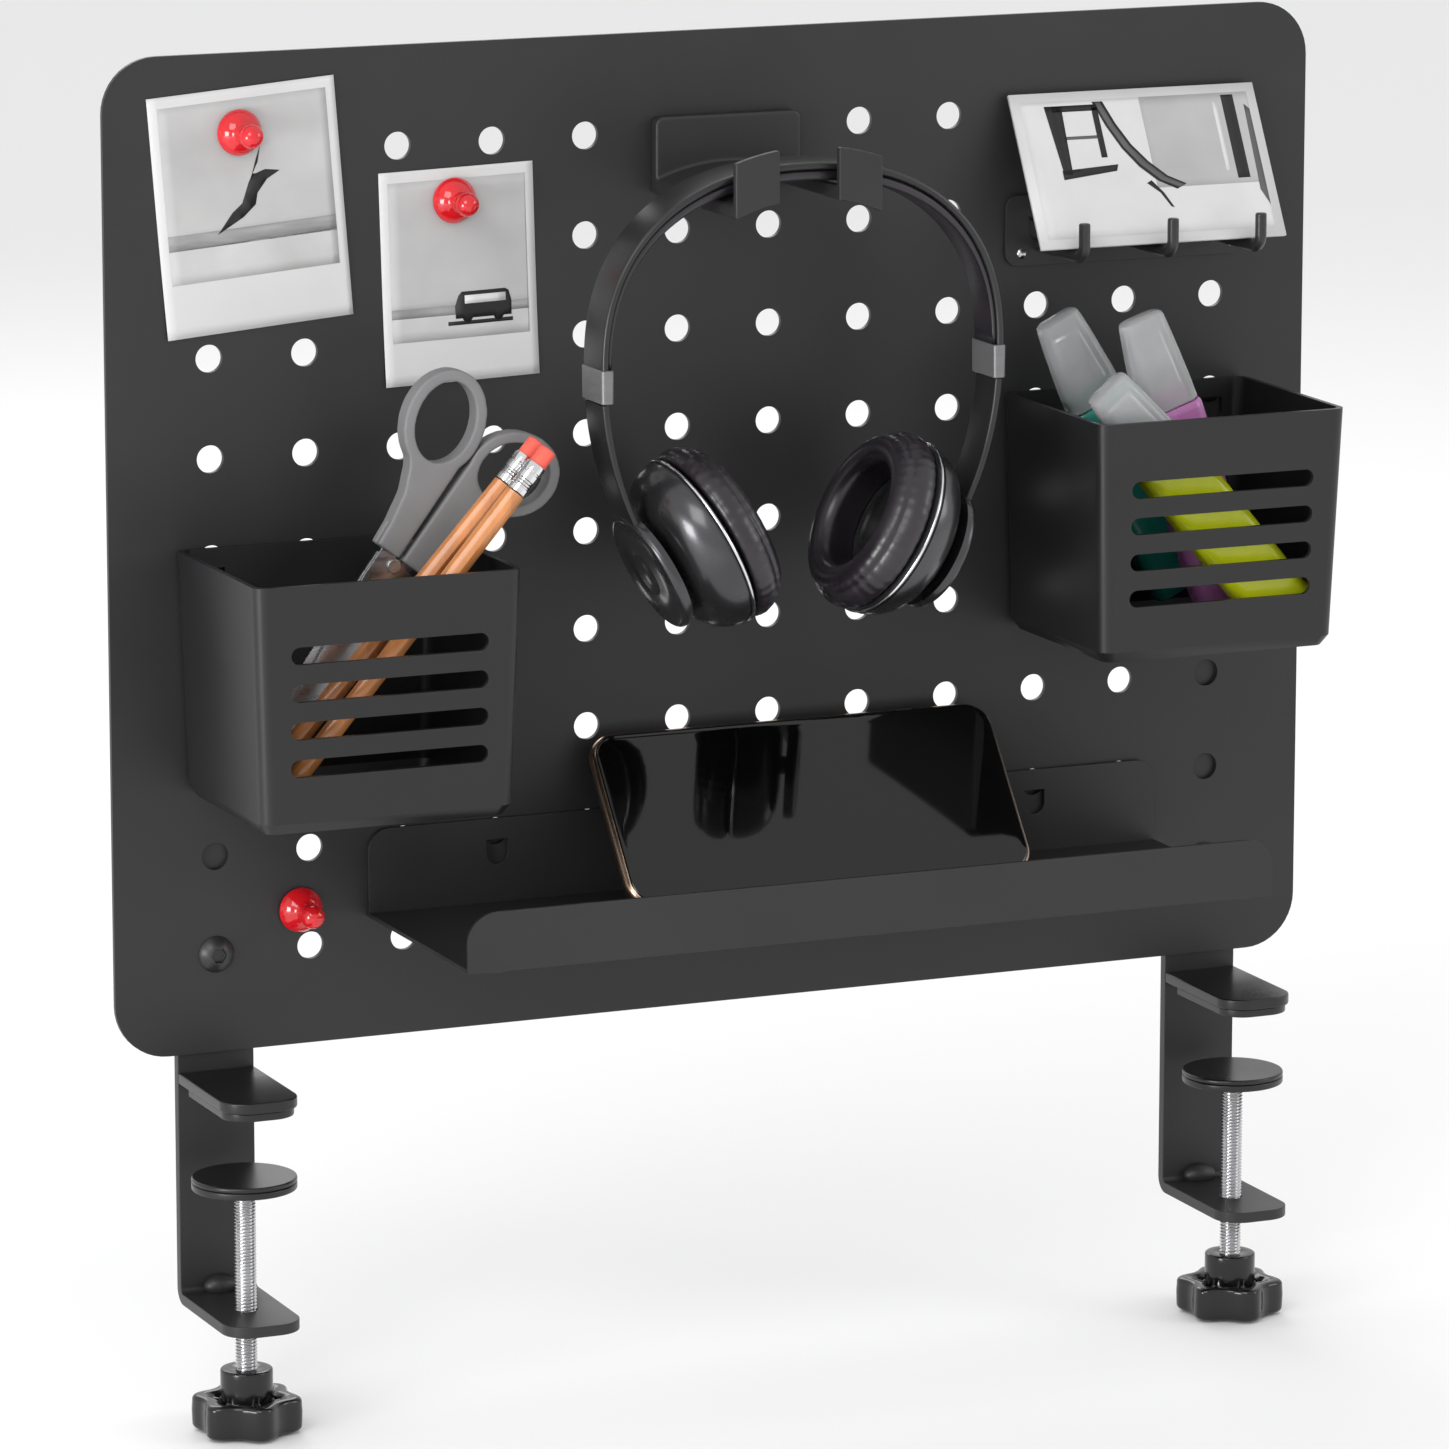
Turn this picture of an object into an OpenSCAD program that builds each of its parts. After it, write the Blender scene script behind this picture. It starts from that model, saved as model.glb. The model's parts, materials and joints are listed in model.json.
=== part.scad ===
// Desk-clamped pegboard tool wall: a perforated steel panel on two screw clamps,
// with hook-on bins, a tray, a headphone hook and a triple hook, and what they hold.
// +X right, +Y back, +Z up. The origin lies midway between the clamps, on the desk
// top under the upper jaws, in the plane of the panel's front face. Millimetres.

/* [Panel] */
// Distance between neighbouring peg holes
pitch = 36; // [32:0.5:44]
// Diameter of a peg hole
hole_d = 10; // [9.5:0.1:11]
// Thickness of the panel sheet
panel_t = 2; // [1.5:0.1:3]
// Panel beyond the outer hole columns
side_margin = 38.5; // [30:0.5:50]
// Panel beyond the outer hole rows
end_margin = 36; // [28:0.5:50]
// Corner radius of the panel
panel_corner = 20; // [5:1:26]
// Height of the panel's lower edge above the desk top
panel_rise = 14; // [12:1:40]

/* [Clamps] */
// Width of the clamp bar
bar_w = 29; // [26:0.5:32]
// Thickness of the clamp bar and the jaw
bar_t = 4; // [3:0.5:5]
// Reach of the jaws in front of the panel
jaw_reach = 51; // [46:1:70]
// Corner radius of the jaw tips
tip_r = 10; // [4:1:12]
// Thickness of the rubber pad under the upper jaw
jaw_pad_t = 3; // [2:0.5:5]
// Desk top to the upper face of the lower arm
throat = 75; // [65:1:110]
// Screw axis in front of the panel
screw_y = 26.5; // [24:0.5:30]
// Outside diameter of the clamp screw
screw_d = 8; // [7:0.5:10]
// Thread pitch of the clamp screw
thread_pitch = 1.25; // [1:0.05:2]
// Diameter of the pressure disc
disc_d = 38; // [30:1:42]
// Thickness of the steel disc
disc_t = 2.5; // [2:0.5:4]
// Thickness of the disc's rubber
disc_pad_t = 2; // [1.5:0.5:3]
// Open gap between the jaw pad and the disc as set
jaw_gap = 25.5; // [21:0.5:32]
// Distance from the lower arm to the knob's collar as set
knob_gap = 17.7; // [16:0.1:30]
// Knob across its corners
knob_d = 41; // [34:1:50]
// Height of the knob's lobes
knob_h = 12.5; // [10:0.5:18]
// Diameter of the knob's collar
collar_d = 19; // [16:0.5:22]
// Height of the collar above the lobes
collar_h = 10.3; // [6:0.1:16]

/* [Bins] */
// Width of a bin at its rim
bin_w = 100; // [90:1:116]
// Depth of a bin at its rim
bin_d = 83.5; // [76:0.5:100]
// Height of a bin
bin_h = 88.4; // [76:0.1:110]
// Wall thickness of a bin
bin_wall = 2; // [1.5:0.1:2.5]
// Narrowing of each tapered side over the height
bin_taper = 3; // [0:0.5:4]
// Upright corner radius of a bin
bin_corner = 5; // [3:0.5:8]
// Rim above the hole row that the bin hooks into
rim_rise = 4.4; // [2.5:0.1:8]
// Length of a vent slot
slot_w = 73.6; // [50:0.1:80]
// Height of a vent slot
slot_h = 6.3; // [4:0.1:8]
// Distance between vent slots
slot_pitch = 13.4; // [10:0.1:15]
// Rim to the centre line of the first slot
slot_drop = 24.8; // [15:0.1:30]

/* [Tray] */
// Width of the tray
tray_w = 316; // [270:1:350]
// Depth of the tray in front of the panel
tray_d = 98.5; // [84:0.5:120]
// Sheet thickness of the tray
tray_t = 1.5; // [1:0.1:2]
// Height of the tray's back plate
tray_back_h = 32.4; // [30:0.1:45]
// Height of the tray's front lip
lip_h = 21.5; // [14:0.5:26]
// Back plate's upper edge above its hole row
tray_rise = 5; // [3:0.1:8]

/* [Hooks] */
// Width of the headphone hook
saddle_w = 57; // [54:1:66]
// Radius of the headphone hook's saddle, under side
saddle_r = 70; // [60:1:90]
// Thickness of the headphone hook
saddle_t = 5; // [4:0.5:6]
// Reach of the headphone hook in front of the panel
saddle_reach = 77; // [75:1:95]
// Width of each finger
finger_w = 17; // [14:0.5:19]
// Height of the finger tabs
tab_h = 17; // [14:0.5:22]
// Diameter of the triple hook's rods
rod_d = 4.2; // [3.5:0.1:5]
// Reach of the rods in front of the panel
rod_reach = 40; // [38:1:50]
// Height of the rods' turned-up ends
rod_rise = 13; // [8:0.5:24]

/* [Contents] */
// Diameter of the headphone cups
cup_d = 68; // [60:1:74]
// Width of the headband
band_w = 22; // [18:1:26]
// Outside width of the headphones
band_span = 158; // [150:1:165]
// Width of the phone
phone_w = 161; // [140:1:170]
// Height of the phone
phone_h = 71.5; // [65:0.5:80]
// Thickness of the phone
phone_t = 8; // [7:0.5:10]
// Diameter of a pencil
pencil_d = 6.9; // [6:0.1:7.5]
// Width of a highlighter's body
pen_w = 25; // [20:1:26]
// Thickness of a highlighter's body
pen_t = 14; // [11:0.5:15]

/* [Hidden] */

$fn = 64;
hull_fn = 32;
cols = 12;
rows = 9;
panel_w = (cols - 1) * pitch + 2 * side_margin;
panel_h = (rows - 1) * pitch + 2 * end_margin;
clear = 0.3;

// Clamp heights
clamp_x = (cols - 1) * pitch / 2;
arm_top = -throat;
arm_bottom = arm_top - bar_t;
disc_top = -jaw_gap;
disc_mid = disc_top - disc_pad_t;
disc_bottom = disc_mid - disc_t;
hub_h = 3;
hub_bottom = disc_bottom - hub_h;
socket_top = disc_bottom + 0.5;
socket_clear = 0.08;
screw_top = socket_top - 0.3;
collar_top = arm_bottom - knob_gap;
knob_top = collar_top - collar_h;
knob_bottom = knob_top - knob_h;
screw_in_knob = 14;
bar_bend = 6;
bracket_row = 5;
bracket_top = row_z(bracket_row) + 14;

// Panel bolts
bolt_d = 8;
bolt_head_d = 14;
bolt_head_h = 4;
bolt_row = 8;
peg_d = 9.6;
nut_af = 13;
nut_h = 6.5;

// Hanging tongues
tongue_w = 7.8;
tongue_t = 1.4;
tongue_seat = 2.75;
tongue_lip = 4.2;
bin_rows = [4, 3];
bin_cols = [[0, 2], [9, 11]];
tray_row = 7;
tray_cols = [3, 9];
hook_cols = [5, 6];
triple_row = 1;
triple_cols = [9, 10, 11];

// Bins
left_bin_x = col_x(1);
right_bin_x = col_x(10);
left_rim = row_z(bin_rows[0]) + rim_rise;
right_rim = row_z(bin_rows[1]) + rim_rise;
slot_count = 4;

// Tray
tray_x = (col_x(tray_cols[0]) + col_x(tray_cols[1])) / 2;
tray_top = row_z(tray_row) + tray_rise;
tray_floor = tray_top - tray_back_h;
tray_back_corner = 8;
lip_corner = 11;

// Headphone hook
saddle_x = (col_x(hook_cols[0]) + col_x(hook_cols[1])) / 2;
saddle_plate_top = row_z(0) + 4;
saddle_plate_h = 21;
saddle_crown = row_z(0) - 11.4;
saddle_z = saddle_crown - saddle_r - saddle_t;
saddle_root = 24;
tab_t = 3;

// Triple hook
triple_x = col_x(10);
triple_w = 99;
triple_h = 26.3;
triple_top = row_z(triple_row) + 5.3;
triple_t = 1.5;
rod_z = triple_top - triple_h + 7.4;
rod_bend = 5;

// Pins
pin_upper_at = [-186.3, row_z(0) + 8];
pin_middle_at = [-105.2, row_z(0) - 20.4];
pin_lower_at = [-165.9, row_z(8) + 13.6];
pin_d = 16.5;
pin_base_h = 7;
pin_ball_d = 8.6;
pin_h = 17.5;
magnet_d = 9;
magnet_h = 2;

// Prints and card
paper_t = 0.6;
paper_gap = 0.35;
large_print_size = [70, 86];
large_print_at = [-182, row_z(0) - 19];
large_print_turn = 4.5;
small_print_size = [59, 77];
small_print_at = [-103, row_z(1) - 11.2];
small_print_turn = 1.6;
card_size = [100.5, 61];
card_t = 1.5;
card_lean = 29;
card_foot = [triple_x, -33.6, rod_z + rod_d / 2 + 1.1];

// Scissors, in the left bin
scissor_y = -45;
scissor_pivot_at = [left_bin_x + 15.4, scissor_y, left_rim - 2.7];
scissor_turn = 37;
blade_len = 82;
blade_t = 1.4;
blade_w = 15;
handle_t = 8;
pivot_d = 4;

// Pencils, in the left bin
pencil_a_foot = [left_bin_x - 42.5, -58, left_rim - 77.5];
pencil_a_turn = 42.5;
pencil_b_foot = [left_bin_x - 38.8, -67, left_rim - 82];
pencil_b_turn = 41;
pencil_len = 153;
ferrule_len = 12;
eraser_len = 7;
point_len = 14;

// Highlighters, in the right bin
pen_len = 116;
cap_len = 36;
teal_foot = [right_bin_x + 12.2, -26, right_rim - 72.5];
teal_turn = -27;
pink_foot = [right_bin_x + 19.5, -50, right_rim - 76.6];
pink_turn = -19;
yellow_foot = [right_bin_x + 34, -68, right_rim - 77.5];
yellow_turn = -40;

// Headphones
band_t = 5;
band_crown_t = 7;
band_rise = 70;
band_power = 2.3;
phones_x = saddle_x + 2;
phones_y = -60;
band_z = saddle_crown + 0.3 - band_rise + band_crown_t;
band_end_h = 12;
arm_t = 4;
arm_w = 20;
tongue_len = 12;
cup_tilt = 27;
cup_x = 35;
cup_z = band_z - 64;
cushion_t = 14;
shell_t = 18;
ear_d = 38;
plate_d = 46;
plate_t = 4.5;
plate_gap = 2.5;
post_d = 8;

// Phone
phone_x = tray_x + 5;
phone_lean = 39;
phone_foot = [
    phone_x, -1.8 - phone_t * cos(phone_lean) - phone_h * sin(phone_lean),
    tray_floor + tray_t + clear + phone_t * sin(phone_lean)
];
screen_t = 0.8;
phone_r = 10;

function col_x(c) = (c - (cols - 1) / 2) * pitch;
function row_z(r) = panel_rise + end_margin + (rows - 1 - r) * pitch;

// ---- shared shapes ----

module round_rect(w, h, r) {
    square([w - 2 * r, h], center = true);
    square([w, h - 2 * r], center = true);
    for (x = [-1, 1], y = [-1, 1])
        translate([x * (w / 2 - r), y * (h / 2 - r)]) circle(r);
}

// A plate standing in the XZ plane, from y_front back by t
module upright(y_front, t) {
    translate([0, y_front + t, 0]) rotate([90, 0, 0]) linear_extrude(t) children();
}

// A plate of outline children, lying from z up by t
module flat(z, t) {
    translate([0, 0, z]) linear_extrude(t) children();
}

// Plan outline of a jaw from y_back forward to the tip
module jaw_outline(y_back, inset) {
    w = bar_w - 2 * inset;
    tip = -jaw_reach + inset;
    r = tip_r - inset / 2;
    translate([-w / 2, tip + r]) square([w, y_back - tip - r]);
    translate([-w / 2 + r, tip]) square([w - 2 * r, 2 * r]);
    for (x = [-1, 1])
        translate([x * (w / 2 - r), tip + r]) circle(r);
}

// Hanging tongue at hole (x, z): through the panel and down behind it
module tongue(x, z, y_root) {
    depth = panel_t + clear + tongue_t - y_root;
    translate([x - tongue_w / 2, y_root, z - tongue_seat]) cube([tongue_w, depth, tongue_t]);
    translate([x - tongue_w / 2, panel_t + clear, z - tongue_seat - tongue_lip])
        cube([tongue_w, tongue_t, tongue_lip + tongue_t]);
}

// Window that the tongue leaves in its sheet
module tongue_window(x, z, y_front, t) {
    w = tongue_w + 0.6;
    translate([x, 0, z - tongue_seat]) upright(y_front - 1, t + 2) {
        translate([-w / 2, -5]) square([w, 5]);
        translate([0, -5]) circle(d = w);
    }
}

// Things that lean in a bin: drawn along +Z, turned about Y, standing at foot
module leaning(foot, turn) {
    translate(foot) rotate([0, turn, 0]) children();
}

// ---- panel and clamps ----

module panel() {
    color("#3c3c3e") upright(0, panel_t) difference() {
        translate([0, panel_rise + panel_h / 2]) round_rect(panel_w, panel_h, panel_corner);
        for (c = [0 : cols - 1], r = [0 : rows - 1])
            translate([col_x(c), row_z(r)]) circle(d = hole_d);
    }
}

module bracket(x) {
    y0 = panel_t;
    color("#3a3a3c") difference() {
        translate([x, 0, 0]) union() {
            translate([-bar_w / 2, y0, arm_bottom + bar_bend])
                cube([bar_w, bar_t, bracket_top - arm_bottom - bar_bend - 6]);
            translate([0, 0, bracket_top - 12]) upright(y0, bar_t) {
                square([bar_w, 12.2], center = true);
                translate([0, 3]) round_rect(bar_w, 18, 6);
            }
            translate([bar_w / 2, y0 + bar_t - bar_bend, arm_bottom + bar_bend])
                rotate([0, -90, 0]) linear_extrude(bar_w) intersection() {
                    difference() {
                        circle(bar_bend);
                        circle(bar_bend - bar_t);
                    }
                    translate([-bar_bend, 0]) square(bar_bend);
                }
            flat(arm_bottom, bar_t) jaw_outline(y0 + bar_t - bar_bend, 0);
        }
        translate([x, -screw_y, arm_bottom - 1]) cylinder(d = screw_d + 0.1, h = bar_t + 2);
        translate([x, y0 - 1, row_z(bolt_row)]) rotate([-90, 0, 0]) cylinder(d = bolt_d + 0.5, h = bar_t + 2);
    }
    color("#3a3a3c") translate([x, y0 - panel_t + 0.2, row_z(bracket_row)]) rotate([-90, 0, 0])
        cylinder(d = peg_d, h = panel_t);
}

module upper_jaw(x) {
    color("#303032") translate([x, 0, 0]) flat(jaw_pad_t, bar_t) jaw_outline(panel_t, 0);
}

module jaw_pad(x) {
    color("#1b1b1c") translate([x, 0, 0]) flat(0, jaw_pad_t) jaw_outline(-6, 1);
}

module pressure_disc(x) {
    color("#343436") translate([x, -screw_y, 0]) difference() {
        union() {
            translate([0, 0, disc_bottom]) cylinder(d = disc_d, h = disc_t);
            translate([0, 0, hub_bottom]) cylinder(d1 = screw_d + 3.5, d2 = screw_d + 9, h = hub_h);
        }
        translate([0, 0, hub_bottom - 1])
            cylinder(d = screw_d + 2 * socket_clear, h = socket_top - hub_bottom + 1);
    }
}

module disc_pad(x) {
    color("#1b1b1c") translate([x, -screw_y, disc_mid]) cylinder(d = disc_d, h = disc_pad_t);
}

module clamp_screw(x) {
    foot = collar_top - screw_in_knob;
    color("#b9bbbd") translate([x, -screw_y, foot]) cylinder(d = screw_d, h = screw_top - foot);
}

module knob(x) {
    color("#141415") translate([x, -screw_y, 0]) difference() {
        union() {
            translate([0, 0, knob_top - 1]) cylinder(d = collar_d, h = collar_h + 1);
            translate([0, 0, knob_bottom]) linear_extrude(knob_h) intersection() {
                rotate(30) circle(d = knob_d, $fn = 6);
                circle(d = knob_d - 1.2);
            }
        }
        difference() {
            translate([0, 0, knob_top - 3]) cylinder(d = knob_d - 12, h = 4);
            translate([0, 0, knob_top - 4]) cylinder(d = collar_d, h = 6);
        }
        translate([0, 0, collar_top - screw_in_knob]) cylinder(d = screw_d, h = screw_in_knob + 1);
    }
}

module panel_bolts() {
    reach = panel_t + bar_t + nut_h + 1.5;
    dome_r = 8;
    color("#202022") for (x = [-clamp_x, clamp_x])
        translate([x, 0, row_z(bolt_row)]) rotate([90, 0, 0]) difference() {
            union() {
                translate([0, 0, -reach]) cylinder(d = bolt_d, h = reach);
                rotate_extrude() intersection() {
                    translate([0, bolt_head_h - dome_r]) circle(dome_r);
                    square([bolt_head_d / 2, bolt_head_h]);
                }
            }
            translate([0, 0, 1.6]) cylinder(d = 5.8, h = 4, $fn = 6);
        }
}

module panel_nuts() {
    color("#8f9193") for (x = [-clamp_x, clamp_x])
        translate([x, panel_t + bar_t, row_z(bolt_row)]) rotate([-90, 0, 0]) difference() {
            cylinder(d = nut_af / cos(30), h = nut_h, $fn = 6);
            translate([0, 0, -1]) cylinder(d = bolt_d, h = nut_h + 2);
        }
}

// ---- bins and tray ----

// Slice of a bin at depth drop below the rim, narrowed by the taper and by inset
module bin_slice(drop, inset, back, thin) {
    t = bin_taper * min(1, drop / bin_h);
    w = bin_w - 2 * t - 2 * inset;
    front = -clear - bin_d + t + inset;
    rear = -clear - back;
    r = max(1, bin_corner - inset / 2);
    translate([0, (front + rear) / 2, -drop - (thin > 0 ? thin : 0)])
        linear_extrude(abs(thin)) round_rect(w, rear - front, r);
}

module bin_shell() {
    e = 0.05;
    low = 4;
    difference() {
        hull($fn = hull_fn) {
            bin_slice(0, 0, 0, e, $fn = hull_fn);
            bin_slice(bin_h - low, 0, 0, e, $fn = hull_fn);
            bin_slice(bin_h - e, 2.5, 2.5, e, $fn = hull_fn);
        }
        hull($fn = hull_fn) {
            bin_slice(0, bin_wall, bin_wall, -1, $fn = hull_fn);
            bin_slice(bin_h - low - bin_wall, bin_wall, bin_wall, e, $fn = hull_fn);
            bin_slice(bin_h - bin_wall - e, bin_wall + 2.5, bin_wall + 2.5, e, $fn = hull_fn);
        }
    }
}

module bin(x, rim, hook_at, hook_z) {
    color("#39393b") {
        difference() {
            translate([x, 0, rim]) bin_shell();
            for (i = [0 : slot_count - 1])
                translate([x, 0, rim - slot_drop - i * slot_pitch]) upright(-bin_d - clear - 2, 12) {
                    square([slot_w - slot_h, slot_h], center = true);
                    for (s = [-1, 1]) translate([s * (slot_w - slot_h) / 2, 0]) circle(d = slot_h);
                }
            for (c = hook_at) tongue_window(col_x(c), hook_z, -clear - bin_wall, bin_wall);
        }
        for (c = hook_at) tongue(col_x(c), hook_z, -clear - 1);
    }
}

module left_bin() { bin(left_bin_x, left_rim, bin_cols[0], row_z(bin_rows[0])); }

module right_bin() { bin(right_bin_x, right_rim, bin_cols[1], row_z(bin_rows[1])); }

module tray() {
    front = -clear - tray_d;
    color("#39393b") {
        difference() {
            translate([tray_x, 0, 0]) union() {
                upright(-clear - tray_t, tray_t) {
                    translate([0, tray_floor + tray_back_h / 2])
                        round_rect(tray_w, tray_back_h, tray_back_corner);
                    translate([-tray_w / 2, tray_floor]) square([tray_w, tray_back_h / 2]);
                }
                translate([-tray_w / 2, front, tray_floor]) cube([tray_w, tray_d, tray_t]);
                upright(front, tray_t) {
                    translate([-tray_w / 2, tray_floor]) square([tray_w, lip_h - lip_corner]);
                    translate([-tray_w / 2 + lip_corner, tray_floor])
                        square([tray_w - 2 * lip_corner, lip_h]);
                    for (s = [-1, 1])
                        translate([s * (tray_w / 2 - lip_corner), tray_floor + lip_h - lip_corner])
                            circle(lip_corner);
                }
            }
            for (c = tray_cols) tongue_window(col_x(c), row_z(tray_row), -clear - tray_t, tray_t);
        }
        for (c = tray_cols) tongue(col_x(c), row_z(tray_row), -clear - 1);
    }
}

// ---- hooks ----

// Sector of the saddle ring between two radii, w wide about the middle
module saddle_sector(r1, r2, w) {
    intersection() {
        difference() {
            circle(r2, $fn = 128);
            circle(r1, $fn = 128);
        }
        translate([-w / 2, 0]) square([w, r2 + 1]);
    }
}

module headphone_hook() {
    front = -saddle_reach;
    plate_z = saddle_plate_top - saddle_plate_h / 2;
    color("#353537") {
        translate([saddle_x, 0, plate_z]) upright(-clear - saddle_t, saddle_t) {
            round_rect(saddle_w, saddle_plate_h, 3);
            translate([-saddle_w / 2, -saddle_plate_h / 2]) square([saddle_w, saddle_plate_h / 2]);
        }
        translate([saddle_x, 0, saddle_z]) {
            upright(-clear - saddle_root, saddle_root) saddle_sector(saddle_r, saddle_r + saddle_t, saddle_w);
            difference() {
                union() {
                    upright(front, saddle_reach - saddle_root)
                        saddle_sector(saddle_r, saddle_r + saddle_t, saddle_w);
                    upright(front, tab_t) saddle_sector(saddle_r, saddle_r + tab_h, saddle_w);
                }
                translate([-saddle_w / 2 + finger_w, front - 1, 0])
                    cube([saddle_w - 2 * finger_w, saddle_reach - saddle_root, saddle_r + tab_h + 1]);
            }
        }
        for (c = hook_cols) tongue(col_x(c), row_z(0), -clear - 1);
    }
}

module triple_hook_plate() {
    color("#2e2e30") {
        difference() {
            translate([triple_x, 0, triple_top - triple_h / 2])
                upright(-clear - triple_t, triple_t) round_rect(triple_w, triple_h, 5);
            for (c = [triple_cols[0], triple_cols[2]])
                tongue_window(col_x(c), row_z(triple_row), -clear - triple_t, triple_t);
        }
        for (c = [triple_cols[0], triple_cols[2]]) tongue(col_x(c), row_z(triple_row), -clear - 1);
    }
}

module triple_hook_rods() {
    run = rod_reach - rod_bend - clear - triple_t;
    color("#2b2b2d") for (c = triple_cols) translate([col_x(c), 0, rod_z]) {
        translate([0, -clear - triple_t, 0]) rotate([90, 0, 0]) cylinder(d = rod_d, h = run);
        translate([0, -rod_reach + rod_bend, rod_bend]) rotate([90, 0, -90])
            rotate_extrude(angle = -90) translate([rod_bend, 0]) circle(d = rod_d, $fn = 32);
        translate([0, -rod_reach, rod_bend]) cylinder(d = rod_d, h = rod_rise - rod_bend);
    }
}

module triple_hook_rivets() {
    color("#77797b") for (s = [-1, 1])
        translate([triple_x + s * (triple_w / 2 - 6.5), -clear - triple_t, triple_top - triple_h + 4.7])
            rotate([90, 0, 0]) rotate_extrude() intersection() {
                translate([0, -1.6]) circle(2.6);
                square([2.1, 1]);
            }
}

// ---- magnetic pins ----

module pin(at, y0) {
    color("#c8202a") translate([at[0], y0, at[1]]) rotate([90, 0, 0]) difference() {
        rotate_extrude() {
            intersection() {
                translate([0, pin_base_h - pin_d / 2]) circle(d = pin_d + 1.2);
                square([pin_d / 2, pin_base_h + 0.4]);
            }
            translate([0, pin_base_h - 1]) square([2.9, pin_h - pin_base_h - pin_ball_d / 2 + 1]);
            intersection() {
                translate([0, pin_h - pin_ball_d / 2]) circle(d = pin_ball_d);
                square([pin_ball_d, pin_h + 1]);
            }
        }
        translate([0, 0, -1]) cylinder(d = magnet_d, h = magnet_h + 1);
    }
}

module pin_magnet(at, y0) {
    color("#9a9c9e") translate([at[0], y0, at[1]]) rotate([90, 0, 0]) cylinder(d = magnet_d, h = magnet_h);
}

pin_on_paper = -paper_gap - paper_t - 0.1;
pin_on_panel = -0.1;

module pin_upper() { pin(pin_upper_at, pin_on_paper); }

module pin_upper_magnet() { pin_magnet(pin_upper_at, pin_on_paper); }

module pin_middle() { pin(pin_middle_at, pin_on_paper); }

module pin_middle_magnet() { pin_magnet(pin_middle_at, pin_on_paper); }

module pin_lower() { pin(pin_lower_at, pin_on_panel); }

module pin_lower_magnet() { pin_magnet(pin_lower_at, pin_on_panel); }

// ---- paper ----

module print_sheet(size, at, turn) {
    color("#d9d9d9") translate([at[0], 0, at[1]]) rotate([0, -turn, 0])
        upright(-paper_gap - paper_t, paper_t) square(size, center = true);
}

module large_print() { print_sheet(large_print_size, large_print_at, large_print_turn); }

module small_print() { print_sheet(small_print_size, small_print_at, small_print_turn); }

module picture_card() {
    color("#dcdcdc") translate(card_foot) rotate([-card_lean, 0, 0])
        translate([-card_size[0] / 2, 0, 0]) cube([card_size[0], card_t, card_size[1]]);
}

// ---- scissors ----

// Points of an ellipse about (x, z) with half axes p and q, leaning by lean
function ellipse(x, z, p, q, lean) = [
    for (i = [0 : 47])
        let (u = q * cos(i * 7.5), v = p * sin(i * 7.5))
        [x + u * cos(lean) - v * sin(lean), z + u * sin(lean) + v * cos(lean)]
];

// One handle: a finger loop on a tapered shank that stays on its own side
module scissor_handle(loop, p, q, lean, wall, shank) {
    difference() {
        union() {
            upright(-handle_t / 2, handle_t) polygon(ellipse(loop[0], loop[1], p, q, lean));
            upright(-handle_t / 2, handle_t) polygon(shank);
        }
        upright(-handle_t / 2 - 1, handle_t + 2)
            polygon(ellipse(loop[0], loop[1], p - wall, q - wall, lean));
    }
}

module scissor_place() {
    translate(scissor_pivot_at) rotate([0, scissor_turn, 0]) children();
}

module blade(side, y0) {
    w = blade_w / 2;
    translate([0, y0, 0]) upright(0, blade_t) scale([side, 1]) difference() {
        polygon([
            [1.2, 11.9], [w, 11.9], [w, -8], [1.5, -blade_len + 4], [-1.5, -blade_len],
            [-w, -blade_len * 0.55], [-w, 1], [1.2, 2.6]
        ]);
        circle(d = pivot_d);
    }
}

module scissor_handle_a() {
    color("#8b8b8d") scissor_place() difference() {
        scissor_handle([-14.9, 51.8], 19, 15.3, 17, 4.2, [
            [-0.8, 3], [-10.4, 3], [-11, 12], [-13, 23], [-17, 32], [-24.4, 41.3], [-13.5, 36],
            [-6.7, 40.2], [-0.9, 49.7]
        ]);
        translate([-30, -blade_t - 0.1, -1]) cube([60, blade_t, 13.2]);
    }
}

module scissor_blade_a() { color("#c4c6c8") scissor_place() blade(-1, -blade_t - 0.1); }

module scissor_handle_b() {
    color("#7d7d7f") scissor_place() difference() {
        scissor_handle([18, 50.9], 15.4, 17.6, 37, 4, [
            [0.8, 3], [10.4, 3], [11.3, 14], [14.4, 24], [20, 33], [25.5, 38], [17.3, 39.9],
            [8.1, 45.4], [5.2, 59], [3, 55], [1.6, 44]
        ]);
        translate([-30, 0.1, -1]) cube([60, blade_t, 13.2]);
    }
}

module scissor_blade_b() { color("#b4b6b8") scissor_place() blade(1, 0.1); }

module scissor_pivot() {
    color("#a8aaac") scissor_place() rotate([90, 0, 0]) {
        translate([0, 0, -blade_t - 0.1]) cylinder(d = pivot_d - 0.1, h = 2 * blade_t + 0.3);
        translate([0, 0, blade_t + 0.1]) cylinder(d = pivot_d + 1.2, h = 1);
    }
}

// ---- pencils ----

module pencil_barrel() {
    color("#c98a4e") {
        translate([0, 0, point_len]) cylinder(d = pencil_d, h = pencil_len - point_len - ferrule_len);
        cylinder(d1 = 1, d2 = pencil_d, h = point_len);
    }
}

module pencil_ferrule() {
    color("#c9cbcd") translate([0, 0, pencil_len - ferrule_len]) difference() {
        cylinder(d = pencil_d + 0.6, h = ferrule_len);
        translate([0, 0, ferrule_len - 4]) cylinder(d = pencil_d - 0.4, h = 5);
    }
}

module pencil_eraser() {
    color("#e0625a") translate([0, 0, pencil_len - 4]) cylinder(d = pencil_d - 0.4, h = eraser_len + 4);
}

module pencil_a() { leaning(pencil_a_foot, pencil_a_turn) pencil_barrel(); }

module pencil_a_ferrule() { leaning(pencil_a_foot, pencil_a_turn) pencil_ferrule(); }

module pencil_a_eraser() { leaning(pencil_a_foot, pencil_a_turn) pencil_eraser(); }

module pencil_b() { leaning(pencil_b_foot, pencil_b_turn) pencil_barrel(); }

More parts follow.
